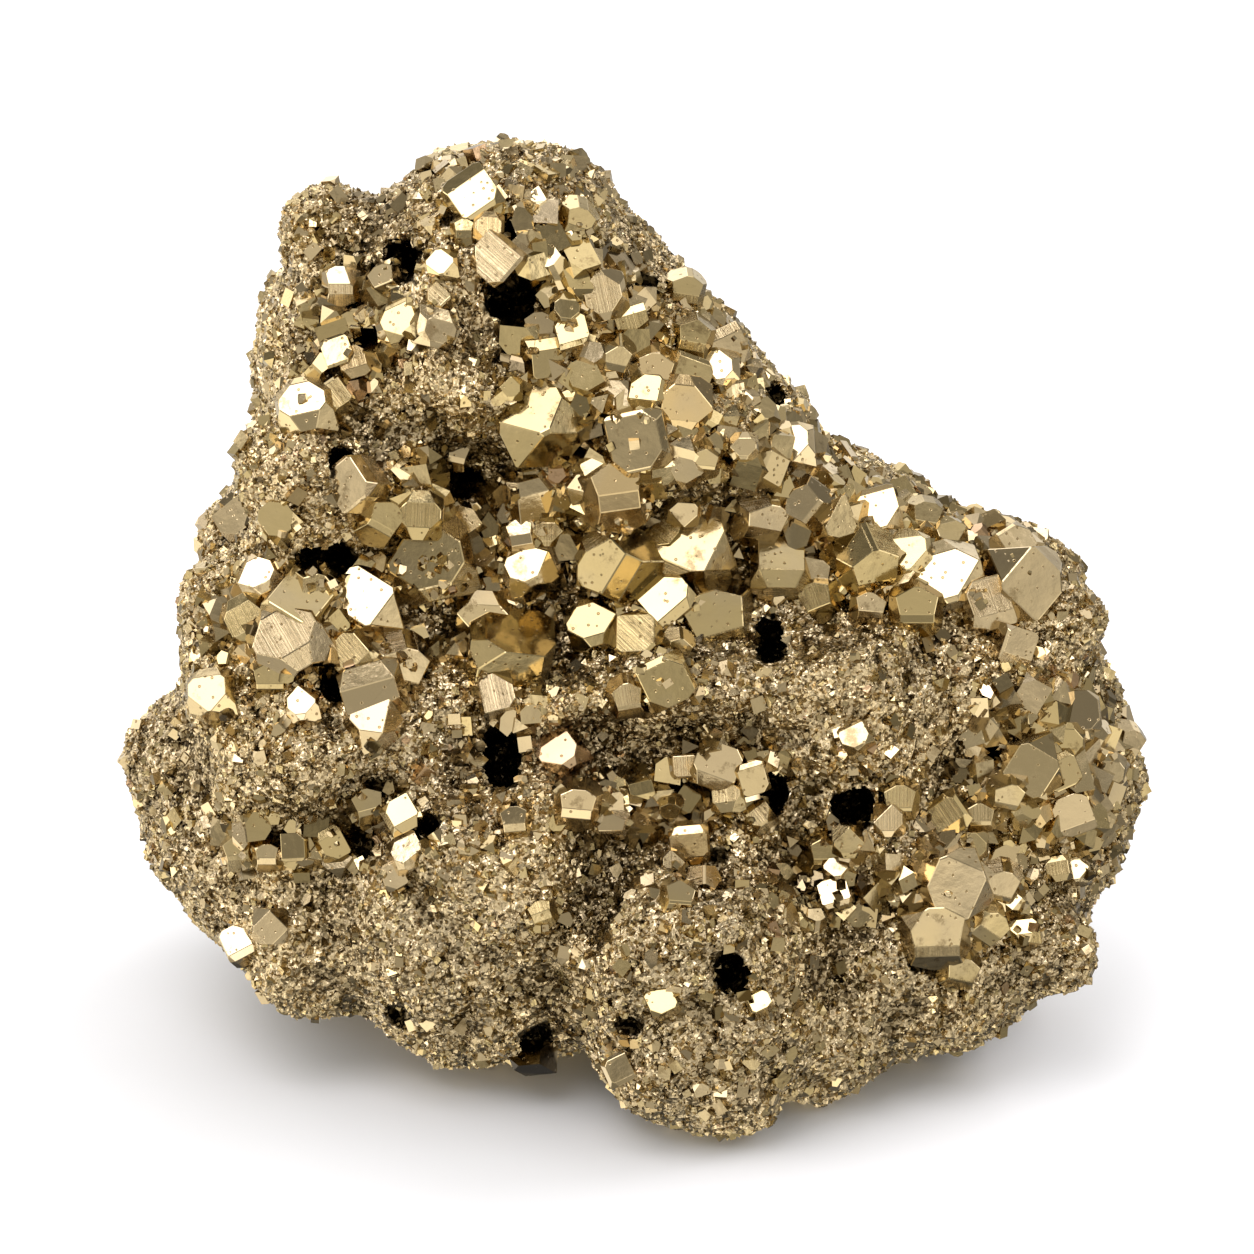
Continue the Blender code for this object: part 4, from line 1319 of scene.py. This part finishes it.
def standAt(name, data, direction, distance):
    # a camera or a lamp that looks at the target
    stand = linkThing(name, data)
    stand.location = (target + direction * distance) * mm
    stand.rotation_euler = (-direction).to_track_quat("-Z", "Y").to_euler()
    return stand


def buildCamera():
    camera = bpy.data.cameras.new("camera")
    camera.lens = display["lens"]
    camera.sensor_width = display["sensor"]
    camera.clip_start = display["clipStart"] * mm
    bpy.context.scene.camera = standAt("camera", camera, towardsEye, display["distance"])


def studioDirection(around, up):
    around, up = math.radians(around), math.radians(up)
    return Vector((-math.sin(around) * math.cos(up), -math.cos(around) * math.cos(up), math.sin(up)))


def buildSoftbox(name, around, up, distance, width, height, brightness):
    lamp = bpy.data.lights.new(name, "AREA")
    lamp.shape = "RECTANGLE"
    lamp.size = width * mm
    lamp.size_y = height * mm
    lamp.color = studio["softboxTint"]
    lamp.energy = studio["strength"] * brightness * math.pi * width * height * mm * mm
    return standAt(name, lamp, studioDirection(around, up), distance)


def buildWorld():
    # mirroring faces see the spots, everything else an even ambient light
    world = bpy.data.worlds.new("studio")
    bpy.context.scene.world = world
    bare = startNodes(world)
    direction = bare.add("ShaderNodeTexCoord", out=0)
    level = 0.0
    for around, up, brightness in studio["spots"]:
        towards = bare.vector("DOT_PRODUCT", direction, studioDirection(around, up), out=1)
        level = bare.maths("EXPONENT", (towards - 1.0) * studio["spotTightness"]) * brightness + level
    cards = studio["cards"]
    pattern = bare.clouds(direction, cards["scale"], 1.0).between(*cards["edge"])
    level = level * (cards["dark"] + pattern * (cards["light"] - cards["dark"])) * studio["strength"]
    glossy = bare.add("ShaderNodeBackground", {}, {
        "Strength": level, "Color": opaque(studio["surroundTint"])})
    soft = bare.add("ShaderNodeBackground", {}, {
        "Strength": studio["ambient"] * studio["strength"], "Color": (1.0, 1.0, 1.0, 1.0)})
    isGlossy = bare.add("ShaderNodeLightPath", out=3)
    mixed = bare.add("ShaderNodeMixShader", {}, {0: isGlossy, 1: soft, 2: glossy})
    bare.add("ShaderNodeOutputWorld", {}, {"Surface": mixed})


def buildFloor():
    material, bare = startMaterial("paperSweep")
    fibre = bare.clouds(bare.place(), studio["paperFibre"], 2.0)
    colour = bare.mixed(fibre.clamped(), *(opaque(paper) for paper in studio["paper"]))
    finishMaterial(material, bare, {"Base Color": colour, "Roughness": 0.9, "Specular IOR Level": 0.1})
    half = studio["floorHalf"] * mm
    mesh = bpy.data.meshes.new("floor")
    corners = [(-half, -half, 0), (half, -half, 0), (half, half, 0), (-half, half, 0)]
    mesh.from_pydata(corners, [], [(0, 1, 2, 3)])
    mesh.materials.append(material)
    floor = linkThing("floor", mesh)
    floor.visible_glossy = False


buildCamera()
print("camera placed")
skin, sound = growSoundBody()
hollows, mouths = growPits(skin, sound)
print("body grown:", len(skin.data.polygons), "faces")
grounds = dressSkin(skin, hollows)
finishPiece(skin, grainMaterial())
print("granular ground dressed")
materials = {name: facetMaterial(name, finish) for name, finish in finishes.items()}
crystals, grown, seats = growBigCrystals(sound)
finishPiece(crystals, materials["bigFaces"])
print("big crystals grown:", len(grown))
faces, kinds = readFaces(skin.data, grounds), templates()
draws = np.random.default_rng(druse["seed"])
blockers, reach = growCrystalDruse(faces, grown, mouths, seats, kinds, draws, materials["druseFaces"])
growGrit(faces, blockers, reach, kinds, draws, materials["fineFaces"])
print("druse grown")
buildFloor()
buildWorld()
for box in studio["softboxes"]:
    buildSoftbox(*box)
buildSoftbox(*studio["floorWash"]).visible_glossy = False
bpy.context.scene.view_settings.view_transform = "Standard"
print("studio set")
